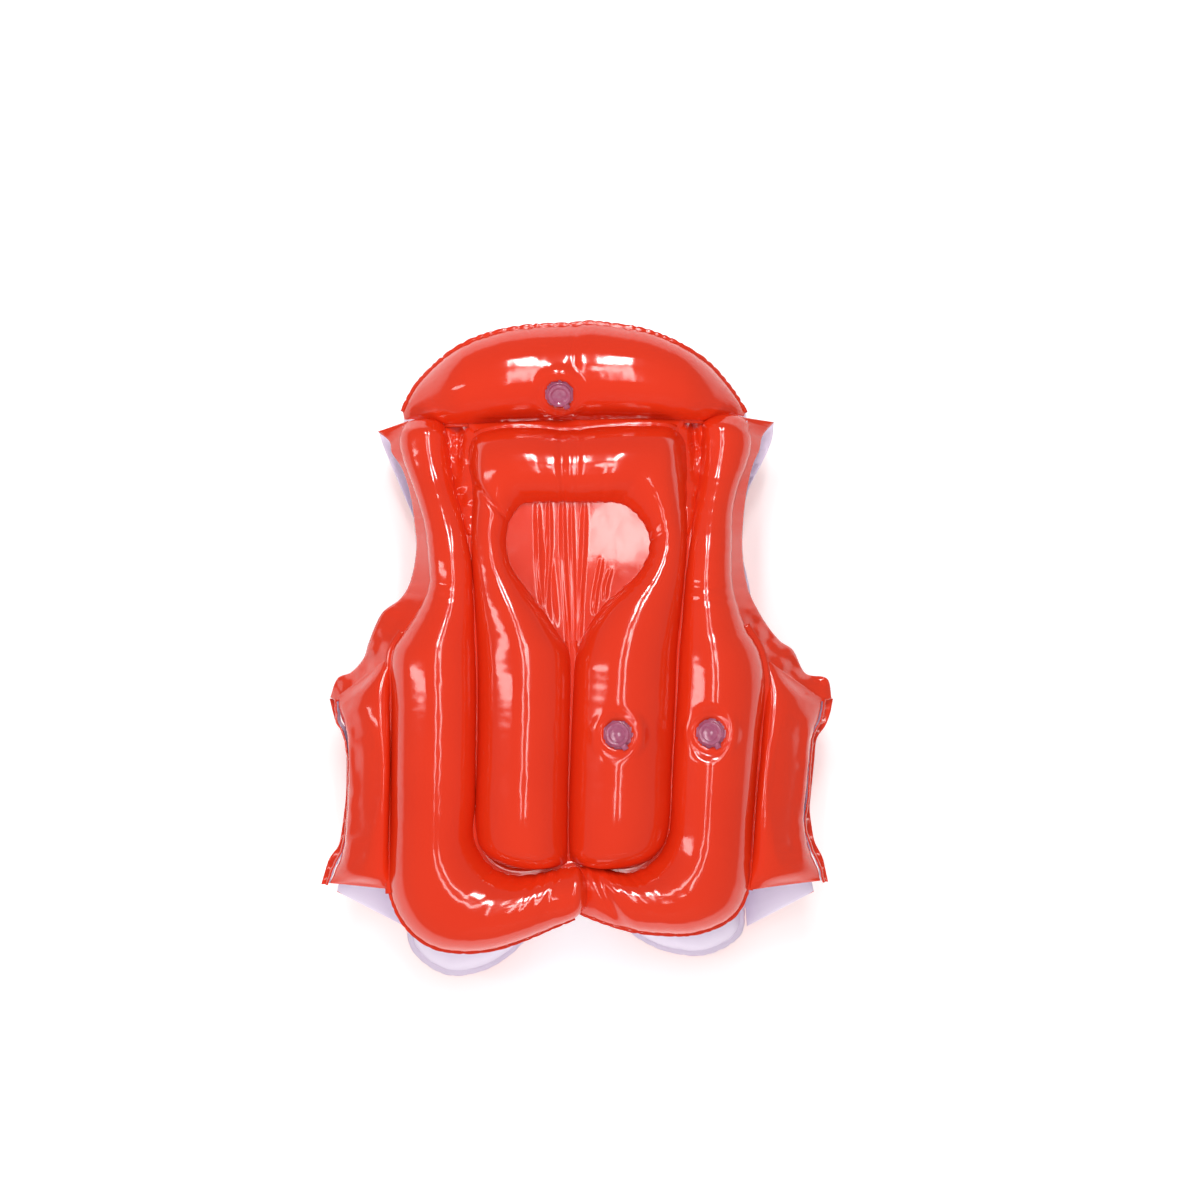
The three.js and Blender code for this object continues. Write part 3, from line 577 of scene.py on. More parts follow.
def front_outer_rungs(side):
    """The right half's lobe hangs a quarter less below the turn of the hem than the left one's."""
    rungs = on_side(front_outer_run, side)
    if side == "right":
        hem = rungs[:, 1] < HEM_FROM
        rungs[hem, 1] = HEM_FROM + (rungs[hem, 1] - HEM_FROM) * RIGHT_HEM_SHARE
    return rungs


front_outer, front_inner = {}, {}
for side in ("left", "right"):
    front_outer[side] = chamber(f"front_outer_film_{side}", [
        chamber_grid(front_outer_rungs(side), front_height, seed=71, bow=(2, 3),
                     gathers_a=[(0, 1), (0.35, 1.2), (0.5, 0.4), (0.7, 0.8), (0.85, 1.8), (1, 1.4)],
                     gathers_b=[(0, 1), (0.3, 0.5), (0.6, 0.4), (0.75, 2.2), (1, 2.2)]),
    ], outside=1)
    front_inner[side] = chamber(f"front_inner_film_{side}", [
        chamber_grid(on_side(front_inner_run, side), front_height, seed=81, ends=(10, 10),
                     gathers_a=[(0, 1), (0.5, 0.4), (1, 1)], gathers_b=[(0, 1), (0.5, 0.5), (1, 1)]),
    ], outside=1, cap=4)

# %% [markdown]
# ## Air in the chambers
# The real jacket is filled by mouth, one chamber after another, until the film is drum tight.

# %% Air
blow_up()
for piece, _ in chambers:
    finish_film(piece)
print("chambers blown up:", len(chambers))

# %% [markdown]
# ## Flat film
# Outside the welds the two films lie flat on each other: in the window, along the armholes, at the seams.
# Such film is a grid between two edges, given a thickness, with the orange face up and the pale one down.
# Vinyl that has been packed flat keeps hard folds, so the creases are sums of pointed waves, not soft noise.

# %% Film between two edges
FILM = 0.6


def film_solid(grid, facing=(0, 0, 1)):
    """A grid given its thickness, with its orange face on the side that facing points to."""
    rows, columns = grid.shape[:2]
    count = rows * columns
    along = np.gradient(grid, axis=0)
    across = np.gradient(grid, axis=1)
    normal = np.cross(across, along)
    normal /= np.maximum(np.linalg.norm(normal, axis=2, keepdims=True), 1e-9)
    normal *= np.where((normal @ np.array(facing, float)).mean() < 0, -1, 1)
    front = (grid + normal * FILM / 2).reshape(-1, 3)
    back = (grid - normal * FILM / 2).reshape(-1, 3)
    index = np.arange(count).reshape(rows, columns)
    quads = grid_quads(index)
    rim = np.r_[index[0, :], index[1:, -1], index[-1, -2::-1], index[-2::-1, 0]]
    edges = np.stack([rim[:-1], rim[1:], rim[1:] + count, rim[:-1] + count], axis=-1)
    faces = np.vstack([quads, quads[:, ::-1] + count, edges])
    sides = np.r_[np.zeros(len(quads)), np.ones(len(quads)), np.zeros(len(edges))]
    return np.vstack([front, back]), faces, sides, np.zeros(0, int)


def creases(x, y, seed, size, count, height):
    """Hard folds: pointed waves about size mm apart, in random directions."""
    rng = np.random.default_rng(seed)
    total = 0 * x
    for k in range(count):
        angle, phase = rng.uniform(0, math.pi), rng.uniform(0, 1)
        wave = (x * math.cos(angle) + y * math.sin(angle)) / (size * rng.uniform(0.7, 1.6)) + phase
        total = total + (np.abs(wave % 1 - 0.5) - 0.25) * rng.uniform(0.5, 1)
    return total * height * 4 / count


def between(edge_a, edge_b, height_a, height_b, rows, columns):
    """A grid of points between two edges in plan, with a height for each edge."""
    shares = np.linspace(0, 1, rows)
    a, b = catmull(edge_a, shares), catmull(edge_b, shares)
    v = np.linspace(0, 1, columns)[None, :, None]
    plan = a[:, None] * (1 - v) + b[:, None] * v
    za, zb = height_a(a[:, 0], a[:, 1]), height_b(b[:, 0], b[:, 1])
    z = za[:, None] * (1 - v[..., 0]) + zb[:, None] * v[..., 0]
    return np.dstack([plan, z])


def remember_cut(name, *grids):
    """The flat cut of a film is the plain surface between its welds, before any fold is pressed into it."""
    width = length = area = 0
    for grid in grids:
        along = np.linalg.norm(np.diff(grid, axis=0), axis=2)
        across = np.linalg.norm(np.diff(grid, axis=1), axis=2)
        width += across.sum(axis=1).max()
        length = max(length, along.sum(axis=0).max())
        one, two = grid[1:, 1:] - grid[:-1, :-1], grid[1:, :-1] - grid[:-1, 1:]
        area += np.linalg.norm(np.cross(one, two), axis=2).sum() / 2


def flat_film(name, *solids):
    vertices, faces, sides, _ = join_grids(*solids)
    piece = make_object(name, vertices, faces, sides, [orange_film, pale_film])
    print(f"{name}: {len(faces)} faces")
    return piece


def add_to(piece, *grids):
    """Joins flat film to a chamber's mesh, as the weld that runs round it."""
    vertices, faces, sides, _ = join_grids(*[film_solid(grid) for grid in grids])
    extra = make_object("extra", vertices, faces, sides, piece.data.materials[:])
    both = bmesh.new()
    both.from_mesh(piece.data)
    both.from_mesh(extra.data)
    both.to_mesh(piece.data)
    both.free()
    bpy.data.objects.remove(extra)


def weld_line(points, height, inward, outward, seed, ruffle=0.0, pitch=9.0, lift=0.0, scallop=0.0):
    """A strip of welded film along a line: inward to its left and outward to its right."""
    spacing, columns = 1.6, 4
    fine = catmull(points, np.linspace(0, 1, 800))
    lengths = run_lengths(fine)
    marks = np.linspace(0, lengths[-1], max(3, int(lengths[-1] / spacing)))
    line = np.stack([np.interp(marks, lengths, fine[:, k]) for k in (0, 1)], axis=1)
    forward = np.gradient(line, axis=0)
    forward /= np.linalg.norm(forward, axis=1)[:, None]
    right = np.stack([forward[:, 1], -forward[:, 0]], axis=1)
    wave = pleats(marks, seed, pitch)
    v = np.linspace(0, 1, columns)[None]
    reach = -inward * (1 - v) + (outward + scallop * wave)[:, None] * v
    plan = line[:, None] + right[:, None] * reach[..., None]
    z = height(plan[..., 0], plan[..., 1]) + lift + ruffle * wave[:, None] * v ** 1.5
    return np.dstack([plan, z])


# %% [markdown]
# ## Welds round the chambers
# A high-frequency weld is a band a few millimetres wide. It closes the gap between neighbouring chambers and
# stands out round the free edges as a thin lip, scalloped where the air pulls it in.

# %% Weld bands
rails = {}
for name, rungs in (("left_arm", left_arm), ("right_arm", right_arm), ("centre", centre_run),
                    ("collar", collar_run), ("cell_left", back_left_cell), ("cell_right", back_right_cell)):
    table = np.array(rungs, float)
    rails[name] = (table[:, 0:2], table[:, 2:4])

add_to(back_outer,
       weld_line(rails["left_arm"][1][4:], back_height, 5, 5, 1, lift=0.2),
       weld_line(rails["right_arm"][1][4:], back_height, 5, 5, 2, lift=0.2),
       weld_line(rails["left_arm"][0][9:16], back_height, 4, 4, 3, lift=0.3),
       weld_line(rails["right_arm"][0][9:17], back_height, 4, 4, 4, lift=0.3),
       weld_line(rails["left_arm"][0][14:23], left_height, 2, 1.6, 5, ruffle=0.9, scallop=0.9, lift=-0.6),
       weld_line(rails["right_arm"][0][15:25][::-1], back_height, 2, 1.6, 6, ruffle=0.9, scallop=0.9,
                 lift=-0.6),
       weld_line(rails["left_arm"][1][:4], back_height, 3, 3, 7, ruffle=1.0),
       weld_line(rails["right_arm"][1][:4], back_height, 3, 3, 8, ruffle=1.0))
hem_fill = between(
    [(-76, -150), (-66, -166), (-50, -175), (-28, -174), (-6, -170), (8, -168), (24, -170), (40, -173),
     (56, -166), (72, -148)],
    [(-66, -146), (-58, -158), (-46, -164), (-28, -162), (-6, -158), (8, -158), (24, -160), (38, -160),
     (52, -155), (62, -142)],
    back_height, back_height, 90, 8)
add_to(back_centre,
       weld_line([(-3, 6), (-1.5, -15), (-2.8, -60), (-4.4, -100), (-5, -135), (-4, -172)], back_height,
                 5, 5, 9, lift=-0.4),
       weld_line(rails["centre"][0][14:23], back_height, 3, 4, 10, ruffle=0.8, lift=-0.4),
       hem_fill)
add_to(collar,
       weld_line(rails["collar"][0][::-1], collar_height, 2, 2.2, 12, ruffle=0.8, scallop=1.6, pitch=8),
       weld_line(rails["collar"][1], collar_height, 2, 2.0, 13, ruffle=0.6, pitch=10))
print("weld rails:", ", ".join(rails))

# %% [markdown]
# ## Window
# The window is flat film that the yoke and the legs pull on as they fill, so it carries long tension folds
# that run down into the slit between the legs. Each fold is a narrow ridge along its own line.

# %% Window film
window_left = [(-9, -20), (-10, -4), (-18, 11), (-28, 25), (-41, 41), (-50, 55), (-56, 66), (-58, 78),
               (-58, 91), (-52, 106), (-42, 117), (-36, 120)]
window_right = [(5, -20), (8, -4), (17, 15), (26, 28), (37, 40), (47, 48), (57, 60), (62, 72),
                (63, 84), (60, 98), (50, 112), (38, 120)]
tension_folds = [(-30, 112, -25, 34, 1.7, 1.7), (-19.5, 114, -21, 34, 1.4, 1.5),
                 (-9.5, 114, -4.5, -8, 1.7, 1.7), (-2, 112, -1, -6, 1.3, 1.4),
                 (7, 112, 4, 8, 1.5, 1.7), (-25, 92, -15, 20, -1.0, 3.0),
                 (20, 70, 15, 28, 1.0, 1.6), (27, 62, 23, 38, 0.9, 1.6)]
window = between(window_left, window_right, back_height, back_height, 120, 150)
remember_cut("window_film_sheet", window)
for x_top, y_top, x_low, y_low, tall, wide in tension_folds:
    down = (y_top - window[..., 1]) / (y_top - y_low)
    line = x_top + (x_low - x_top) * down + 0.7 * np.sin(down * 5 + x_top)
    fade = smooth(down, -0.08, 0.25) * (1 - smooth(down, 0.75, 1.12))
    window[..., 2] += tall * np.exp(-((window[..., 0] - line) / wide) ** 2) * fade
window[..., 2] += creases(window[..., 0], window[..., 1], 5, 34, 4, 0.2) - 1.0
window_film = flat_film("window_film_sheet", film_solid(window))

# %% [markdown]
# ## Crumpled film beside the yoke
# Between the yoke and each shoulder tube the film has no air in it and is pushed together as both sides
# fill. It folds into a deep V.

# %% Yoke film
yoke_films = {}
for side, arm_edge, leg_edge, seed in (
    ("left", [(-84, 88), (-91, 108), (-97, 122), (-101, 139), (-103, 156), (-104, 170), (-104, 177)],
     [(-76, 88), (-75, 108), (-75, 124), (-78, 138), (-79, 150), (-76, 163), (-72, 173)], 17),
    ("right", [(88, 88), (96, 106), (100, 125), (102, 143), (103, 158), (103, 172), (104, 180)],
     [(82, 88), (82, 106), (82, 125), (83, 140), (83, 155), (81, 166), (76, 176)], 19),
):
    grid = between(arm_edge, leg_edge, back_height, back_height, 70, 26)
    remember_cut(f"yoke_film_sheet_{side}", grid)
    v = np.linspace(-1, 1, 26)[None]
    up = np.linspace(0, 1, 70)[:, None]
    grid[..., 2] += creases(grid[..., 0], grid[..., 1], seed, 15, 6, 4.5) * np.sqrt(1 - 0.8 * v ** 2)
    grid[..., 2] -= 9 * smooth(up, 0.35, 0.85) * np.exp(-((v + 0.1) / 0.35) ** 2)
    grid[..., 2] += 2.0 * np.exp(-(v / 0.7) ** 2) - 4.5 * smooth(up, 0.82, 1.0)
    yoke_films[side] = flat_film(f"yoke_film_sheet_{side}", film_solid(grid))

# %% [markdown]
# ## Armhole edges
# Each panel ends in a band of flat film round the armhole. The band is cut larger than the tube wants to be,
# so it waves, and at the bottom of the armhole, where it turns out to the side seam, it folds up.

# %% Armhole films
near_inner = {
    "left": [(-131, 178), (-136, 168), (-135, 155), (-130, 140), (-124, 125), (-119, 110), (-115, 97),
             (-111.5, 75), (-111, 52), (-117, 34), (-129, 14), (-140, -4), (-150, -15), (-165, -26),
             (-180, -36), (-187, -42)],
    "right": [(131, 181), (136, 171), (136, 158), (132, 143), (126, 128), (122, 112), (120, 95),
              (119.5, 75), (119.5, 56), (123, 40), (130, 18), (141, -3), (152, -14), (170, -25),
              (186, -36), (194, -42)],
}
near_outer = {
    "left": [(-156, 171), (-146.5, 163), (-144.5, 154), (-136.5, 142), (-131, 127), (-127.5, 112),
             (-125.5, 98), (-124, 78), (-128, 54), (-136, 39), (-151, 27), (-161, 6), (-166, -8),
             (-176, -19), (-187, -24), (-193, -39)],
    "right": [(157, 178.5), (148, 168), (145, 156), (140, 145), (136, 130), (133, 113), (131.3, 97),
              (130.7, 78), (133, 56), (137.5, 40), (148, 21), (160, 6), (171, -2), (181, -20),
              (198, -24), (202, -40)],
}
far_inner = [(-130, 177), (-132, 166), (-130, 146), (-125, 120), (-118, 95), (-116, 70), (-116, 45),
             (-119, 20),
             (-127, 0), (-140, -16), (-182, -40)]
far_outer = {
    "left": [(-156.5, 172), (-153, 161), (-147.5, 147), (-137, 122), (-127.5, 98), (-124.5, 74),
             (-126, 50), (-134, 30), (-150, 8), (-168, -12), (-190, -42)],
    "right": [(157.5, 179), (156, 165), (150, 150), (138, 126), (132, 100), (131.5, 80), (138, 52),
              (142, 30), (152, 10), (170, -10), (195, -42)],
}


def back_edge(x, y):
    return np.where(np.abs(x) > 142, back_side_height(x, y), back_height(x, y))


def front_edge(x, y):
    return np.where(np.abs(x) > 135, front_side_height(x, y), front_height(x, y))


def back_lip(x, y):
    return np.interp(y, [-42, -10, 30, 100, 180], [76, 84, 98, 92, 68])


def front_lip(x, y):
    return np.interp(y, [-42, -10, 30, 100, 180], [71, 62, 46, 46, 60])


armhole_films, front_lips = {}, {}
for side, sign, seed in (("left", 1, 5), ("right", -1, 9)):
    grid = between(near_inner[side], near_outer[side], back_edge, back_lip, 170, 14)
    remember_cut(f"armhole_film_{side}", grid)
    v = np.linspace(0, 1, 14)[None]
    along = run_lengths(grid[:, -1, :2])
    wave = pleats(along, seed, 13)[:, None]
    low = smooth(-grid[..., 1], -45, 5) * (1 - 0.5 * smooth(-grid[..., 1], 10, 40))
    crumple = creases(grid[..., 0], grid[..., 1], seed, 11, 5, 8) * low * v * (1.3 - v)
    grid[..., 2] += 2.6 * wave * v ** 1.3 + crumple
    armhole_films[side] = flat_film(f"armhole_film_{side}", film_solid(grid))
    turn = np.array([sign, 1])
    grid = between(np.array(far_inner) * turn, far_outer[side], front_edge, front_lip, 140, 14)
    wave = pleats(run_lengths(grid[:, -1, :2]), seed + 3, 17)[:, None]
    grid[..., 2] += 3.0 * wave * v ** 1.3
    front_lips[side] = grid

# %% [markdown]
# ## Side seams
# The back and front side cells meet in one long seam. Its lip is pulled in between the cells and stands out
# in a tip at each end.

# %% Side seam films
seam_edge = {
    "left": [(-193, -40), (-188.5, -57), (-183, -67), (-180, -80), (-179.5, -92), (-180, -115),
             (-181.5, -130), (-183.5, -145), (-186, -156), (-193, -166), (-196.5, -176), (-199.5, -186.5)],
    "right": [(202.5, -40), (200, -52), (196, -62), (189.5, -72), (187.5, -90), (185, -115), (184, -127),
              (185.5, -140), (188, -153), (194, -165), (196.5, -175), (198.5, -184.5)],
}
WALL_SECTION = [(-0.04, 1.2), (0.06, -0.2), (0.3, -0.8), (0.5, -1.0), (0.7, -0.8), (0.94, -0.2), (1.04, 1.2)]
side_films = {}
for side, sign in (("left", -1), ("right", 1)):
    edge = np.array(seam_edge[side], float)
    rail = rails[f"cell_{side}"][1]
    shares = np.linspace(0, 1, 90)
    outline, cell = catmull(edge, shares), catmull(rail, shares)
    waist = np.minimum(np.abs(cell[:, 0]) + 1.8, np.abs(outline[:, 0]) - 0.5)
    upper = back_side_height(cell[:, 0], outline[:, 1])
    lower = front_side_height(cell[:, 0], outline[:, 1])
    wall = []
    for down, pull in WALL_SECTION:
        wall.append(np.stack([sign * (waist - pull), outline[:, 1], upper + (lower - upper) * down], axis=1))
    wall = np.stack(wall, axis=1)
    plain_wall = wall.copy()
    ripple = pleats(run_lengths(outline), 31, 11)[:, None]
    wall[..., 0] += sign * ripple * 0.8
    v = np.linspace(0, 1, 5)[None]
    lip = np.dstack([
        sign * (waist[:, None] * (1 - v) + (np.abs(outline[:, 0]) + 1)[:, None] * v),
        np.repeat(outline[:, 1:2], 5, axis=1), SEAM_MID + ripple * 2.2 * v])
    plain_lip = lip.copy()
    plain_lip[..., 2] = SEAM_MID
    remember_cut(f"side_seam_film_{side}", plain_wall, plain_lip)
    side_films[side] = flat_film(f"side_seam_film_{side}", film_solid(wall, (sign, 0, 0)), film_solid(lip))

# %% [markdown]
# ## Film behind the neck
# The collar hangs from the yoke on a short flat strip, which is all that folds when the head rest tips.

# %% Neck film
neck_grid = between([(-82, 164), (-60, 167), (-30, 168.5), (0, 167), (30, 169), (60, 170), (84, 165)],
                    [(-84, 178), (-60, 178), (-30, 179), (0, 180), (30, 181), (60, 181), (86, 181)],
                    back_height, collar_height, 90, 14)
remember_cut("neck_hinge_film", neck_grid)
neck_grid[..., 2] += creases(neck_grid[..., 0], neck_grid[..., 1], 3, 18, 4, 1.2)
neck_film = flat_film("neck_hinge_film", film_solid(neck_grid))

# %% [markdown]
# ## Shoulder seams
# Each shoulder tube of the back meets the one of the front in a gathered strip over the wearer's shoulder.

# %% Shoulder films
shoulder_films = {}
for side, sign in (("left", -1), ("right", 1)):
    lift = 3.5 if sign > 0 else 0
    x = sign * np.linspace(104, 135, 30)
    rows = []
    for share in np.linspace(0, 1, 12):
        back_z, front_z = back_height(x, 178 + 0 * x), front_height(x, 178 + 0 * x)
        y = 176 + lift + 7.5 * math.sin(math.pi * share) ** 0.8 - 3 * ((np.abs(x) - 119) / 16) ** 2
        rows.append(np.stack([x, y, back_z * (1 - share) + front_z * share], axis=1))
    grid = np.stack(rows, axis=0)
    remember_cut(f"shoulder_seam_film_{side}", grid)
    grid[..., 1] += creases(grid[..., 0], grid[..., 2], 40 + sign, 9, 5, 2.4)
    shoulder_films[side] = flat_film(f"shoulder_seam_film_{side}", film_solid(grid))

# %% [markdown]
# ## Valves
# Each chamber is filled through a soft vinyl valve: a ring welded to the film, a stem that pushes in out of
# the way, and a plug on a short strap. A lathe turns each from its profile, with rounded lips, because every
# moulded edge catches light. The film is drawn in round the ring, as if by a button in a cushion.

# %% Valve shapes
VALVES = {
    "centre": ((33.426, -64.679, 147.944), (-0.14049, -0.00299, 0.99008)),
    "outer": ((104.541, -64.152, 140.364), (-0.17849, 0.00609, 0.98392)),
    "collar": ((-11.732, 197.388, 121.732), (-0.0086, -0.46287, 0.88638)),
}


def valve_matrix(name):
    seat, axis = VALVES[name]
    axis = Vector(axis)
    side = Vector((0, 1, 0)).cross(axis).normalized()
    up = axis.cross(side)
    turn = Matrix((side, up, axis)).transposed().to_4x4()
    return Matrix.Translation(Vector(seat) * MM) @ turn


def tube_quads(rows, columns):
    """Faces of a stack of closed rings."""
    index = np.arange(rows * columns).reshape(rows, columns)
    following = np.roll(index, -1, axis=1)
    quads = np.stack([index[:-1], following[:-1], following[1:], index[1:]], axis=-1).reshape(-1, 4)
    return index, following, quads


def line_and_normals(path, count):
    """A smooth line of count points through a path, and its normals."""
    line = catmull(path, np.linspace(0, 1, count))
    tangent = np.gradient(line, axis=0)
    tangent /= np.linalg.norm(tangent, axis=1)[:, None]
    return line, np.stack([-tangent[:, 1], tangent[:, 0]], axis=1)


def turned(profile, steps=64):
    """A closed lathe shape from (radius, height) points in mm."""
    angles = np.linspace(0, 2 * math.pi, steps, endpoint=False)
    profile = np.array(profile, float)
    rings = np.stack([profile[:, None, 0] * np.cos(angles), profile[:, None, 0] * np.sin(angles),
                      np.repeat(profile[:, 1:2], steps, axis=1)], axis=-1)
    index, following, quads = tube_quads(len(profile), steps)
    if profile[0, 0] > 0.01:
        quads = np.vstack([quads, np.stack([index[-1], following[-1], following[0], index[0]], axis=-1)])
    return rings.reshape(-1, 3), quads, np.zeros(len(quads)), np.zeros(0, int)


def rounded(points, size=0.5, steps=3):
    """Rounds the corners of a profile, apart from its ends on the axis."""
    points = [np.array(p, float) for p in points]
    loop = points[0][0] > 0.01
    made = []
    for k, corner in enumerate(points):
        if not loop and k in (0, len(points) - 1):
            made.append(corner)
            continue
        before, after = points[k - 1], points[(k + 1) % len(points)]
        to_a, to_b = before - corner, after - corner
        reach = min(size, 0.45 * np.linalg.norm(to_a), 0.45 * np.linalg.norm(to_b))
        a = corner + to_a / np.linalg.norm(to_a) * reach
        b = corner + to_b / np.linalg.norm(to_b) * reach
        for t in np.linspace(0, 1, steps + 1):
            made.append((1 - t) ** 2 * a + 2 * t * (1 - t) * corner + t * t * b)
    return made


vinyl, vinyl_tree, vinyl_surface, vinyl_place = new_material("Clear soft vinyl, moulded", {
    "Roughness": 0.12, "IOR": 1.53, "Transmission Weight": 0.4,
    "Coat Weight": 0.6, "Coat Roughness": 0.05})
cloud = add_node(vinyl_tree, "ShaderNodeTexNoise", {"Scale": 260, "Detail": 4}, {"Vector": vinyl_place})
tone = add_node(vinyl_tree, "ShaderNodeMix", {"A": linear("#B9426F"), "B": linear("#E08AAE")},
                {"Factor": cloud.outputs["Fac"]}, data_type="RGBA")
vinyl_tree.links.new(tone.outputs["Result"], vinyl_surface.inputs["Base Color"])
dimple = add_node(vinyl_tree, "ShaderNodeBump", {"Strength": 0.35, "Distance": 0.0006},
                  {"Height": cloud.outputs["Fac"]})
vinyl_tree.links.new(dimple.outputs["Normal"], vinyl_surface.inputs["Normal"])

base_profile = rounded([(6.5, -16), (7.7, -16), (7.9, -1.0), (15.2, 0.15), (15.5, 0.7), (13.2, 1.45),
                        (12.4, 1.0),
                        (11.6, 1.5), (7.6, 1.5), (6.5, 1.2)], 0.5)
stem_profile = rounded([(3.6, -11.2), (5.4, -11.2), (6.0, -8), (6.0, 1.8), (10.2, 1.8), (10.4, 2.6),
                        (9.8, 3.4),
                        (7.6, 3.2), (3.6, 3.4)], 0.45)
plug_profile = rounded([(0, -4.3), (2.6, -4.3), (3.3, -3.4), (3.3, 3.7), (8.9, 3.7), (9.2, 4.9), (8.5, 6.1),
                        (6.6, 5.8), (5.6, 4.9), (2.2, 4.7), (0, 4.9)], 0.45)


def strap_between_plug_and_lip():
    """The plug's strap: a thin tongue that loops out from under the plug and back to the stem's lip."""
    path = np.array([(7.5, 4.6), (10.2, 4.6), (12.2, 4.2), (12.9, 3.4), (12.2, 2.7), (10.0, 2.5), (8.0, 2.5)])
    line, normal = line_and_normals(path, 26)
    section = [(-2.2, 0.0), (-2.0, 0.35), (0, 0.42), (2.0, 0.35), (2.2, 0.0), (2.0, -0.35), (0, -0.42),
               (-2.0, -0.35)]
    rings = np.array([[(x + n[0] * h, w, z + n[1] * h) for w, h in section]
                      for (x, z), n in zip(line, normal)])
    _, _, quads = tube_quads(len(line), len(section))
    return rings.reshape(-1, 3), quads, np.zeros(len(quads)), np.zeros(0, int)


def draw_in(piece, name):
    """Draws the film down to the valve's ring, and into its well."""
    to_valve = valve_matrix(name).inverted()
    back = valve_matrix(name)
    for vertex in piece.data.vertices:
        local = to_valve @ vertex.co
        radius, height = math.hypot(local.x, local.y) / MM, local.z / MM
        if radius > 27 or height < -9:
            continue
        share = float(1 - smooth(radius, 15.5, 24))
        groove = 0.5 * math.exp(-((radius - 15.9) / 0.9) ** 2)
        rim = 0.35 * math.exp(-((radius - 13.6) / 1.0) ** 2)
        ring = 2.1 - groove + rim
        target = height * (1 - share) + ring * share
        if radius < 10.8:
            target = -0.4 - 16 * float(1 - smooth(radius, 6.8, 9.0))
        local.z = target * MM
        vertex.co = back @ local


valves = {}
for name, chamber_piece in (("centre", back_centre), ("outer", back_outer), ("collar", collar)):
    draw_in(chamber_piece, name)
    for part, profile in (("base", base_profile), ("stem", stem_profile), ("plug", plug_profile)):
        piece = make_object(f"{name}_valve_{part}_vinyl", *turned(profile)[:3], [vinyl])
        piece.data.transform(valve_matrix(name))
        valves[name, part] = piece
    strap = make_object(f"{name}_valve_strap", *strap_between_plug_and_lip()[:3], [vinyl])
    strap.data.transform(valve_matrix(name) @ Matrix.Rotation(math.radians(-60), 4, "Z"))
    valves[name, "strap"] = strap
print("valves:", len(valves), "pieces")

# %% [markdown]
# ## Webbing
# Black polypropylene tape, 20 mm wide, is sewn to a welded patch on each front half and folded round the
# buckle's bar. It is modelled directly as a folded strip, as tape is too narrow for a cloth to be worth it.
# The tape's weave follows a UV map along its length, one unit to 10 mm.

# %% Webbing and its material
webbing_material, web_tree, web_surface, _ = new_material("Woven polypropylene webbing", {
    "Roughness": 0.75, "Sheen Weight": 0.15, "Sheen Roughness": 0.5})
web_uv = add_node(web_tree, "ShaderNodeUVMap", uv_map="weave")
rows_of_weft = add_node(web_tree, "ShaderNodeTexWave", {"Scale": 2.1, "Distortion": 0.4, "Detail": 1},
                        {"Vector": web_uv.outputs["UV"]}, bands_direction="X", wave_profile="SIN")
warp_ends = add_node(web_tree, "ShaderNodeTexWave", {"Scale": 3.2, "Distortion": 0.2},
                     {"Vector": web_uv.outputs["UV"]}, bands_direction="Y", wave_profile="SIN")
weave = add_node(web_tree, "ShaderNodeMath", operation="MULTIPLY")
web_tree.links.new(rows_of_weft.outputs["Fac"], weave.inputs[0])
web_tree.links.new(warp_ends.outputs["Fac"], weave.inputs[1])
web_tint = add_node(web_tree, "ShaderNodeMix", {"A": linear("#101013"), "B": linear("#34343C")},
                    {"Factor": weave.outputs["Value"]}, data_type="RGBA")
web_tree.links.new(web_tint.outputs["Result"], web_surface.inputs["Base Color"])
web_bump = add_node(web_tree, "ShaderNodeBump", {"Strength": 0.6, "Distance": 0.0005},
                    {"Height": weave.outputs["Value"]})
web_tree.links.new(web_bump.outputs["Normal"], web_surface.inputs["Normal"])

BAR_X, BAR_Z = 33.0, 4.8
STRAP_Y = {"lower": -120.0, "upper": -20.0}
UPPER_RUN, LOWER_RUN = 2.9, 1.45
EDGE = [(-9.8, 0.45), (-9, 0.68), (-6, 0.7), (-3, 0.7), (0, 0.7), (3, 0.7), (6, 0.7), (9, 0.68), (9.8, 0.45)]


def tape(name, hand, y):
    """One tape: out along the patch at the top, round the bar, and back under itself to its end."""
    turn = np.linspace(math.pi / 2, 1.5 * math.pi, 12)
    path = [(x, UPPER_RUN) for x in (46, 36, 26, 16, 8)]
    path += [(UPPER_RUN * math.cos(a), UPPER_RUN * math.sin(a)) for a in turn]
    path += [(4, -2.5), (8, -0.9), (11.5, 0.7), (15, 1.4), (20, LOWER_RUN), (27, LOWER_RUN)]
    line, normal = line_and_normals(path, 150)
    lengths = run_lengths(line)
    section = [(-10, 0)] + EDGE + [(10, 0)] + [(w, -h) for w, h in EDGE[::-1]]
    widths, heights = np.array(section, float).T
    rings = np.stack([hand * (BAR_X + line[:, :1] + normal[:, :1] * heights), y + widths + 0 * line[:, :1],
                      BAR_Z + line[:, 1:] + normal[:, 1:] * heights], axis=-1)
    rows, columns = rings.shape[:2]
    _, _, quads = tube_quads(rows, columns)
    piece = make_object(name, rings.reshape(-1, 3), quads, np.zeros(len(quads)), [webbing_material])
    edit = bmesh.new()
    edit.from_mesh(piece.data)
    bmesh.ops.holes_fill(edit, edges=[e for e in edit.edges if e.is_boundary], sides=0)
    layer = edit.loops.layers.uv.new("weave")
    for face in edit.faces:
        for loop in face.loops:
            row = min(loop.vert.index // columns, rows - 1)
            loop[layer].uv = (lengths[row] / 10, (loop.vert.co.y * 1000 - y) / 10)
    bmesh.ops.recalc_face_normals(edit, faces=edit.faces)
    edit.to_mesh(piece.data)
    edit.free()
    return piece


# %% [markdown]
# ## Stitching
# Each tape is sewn with a box and a cross. Geometry Nodes walk a line and set down one thread bead per
# stitch, turned along the line, so the pitch and the thread are one pair of numbers for every seam.

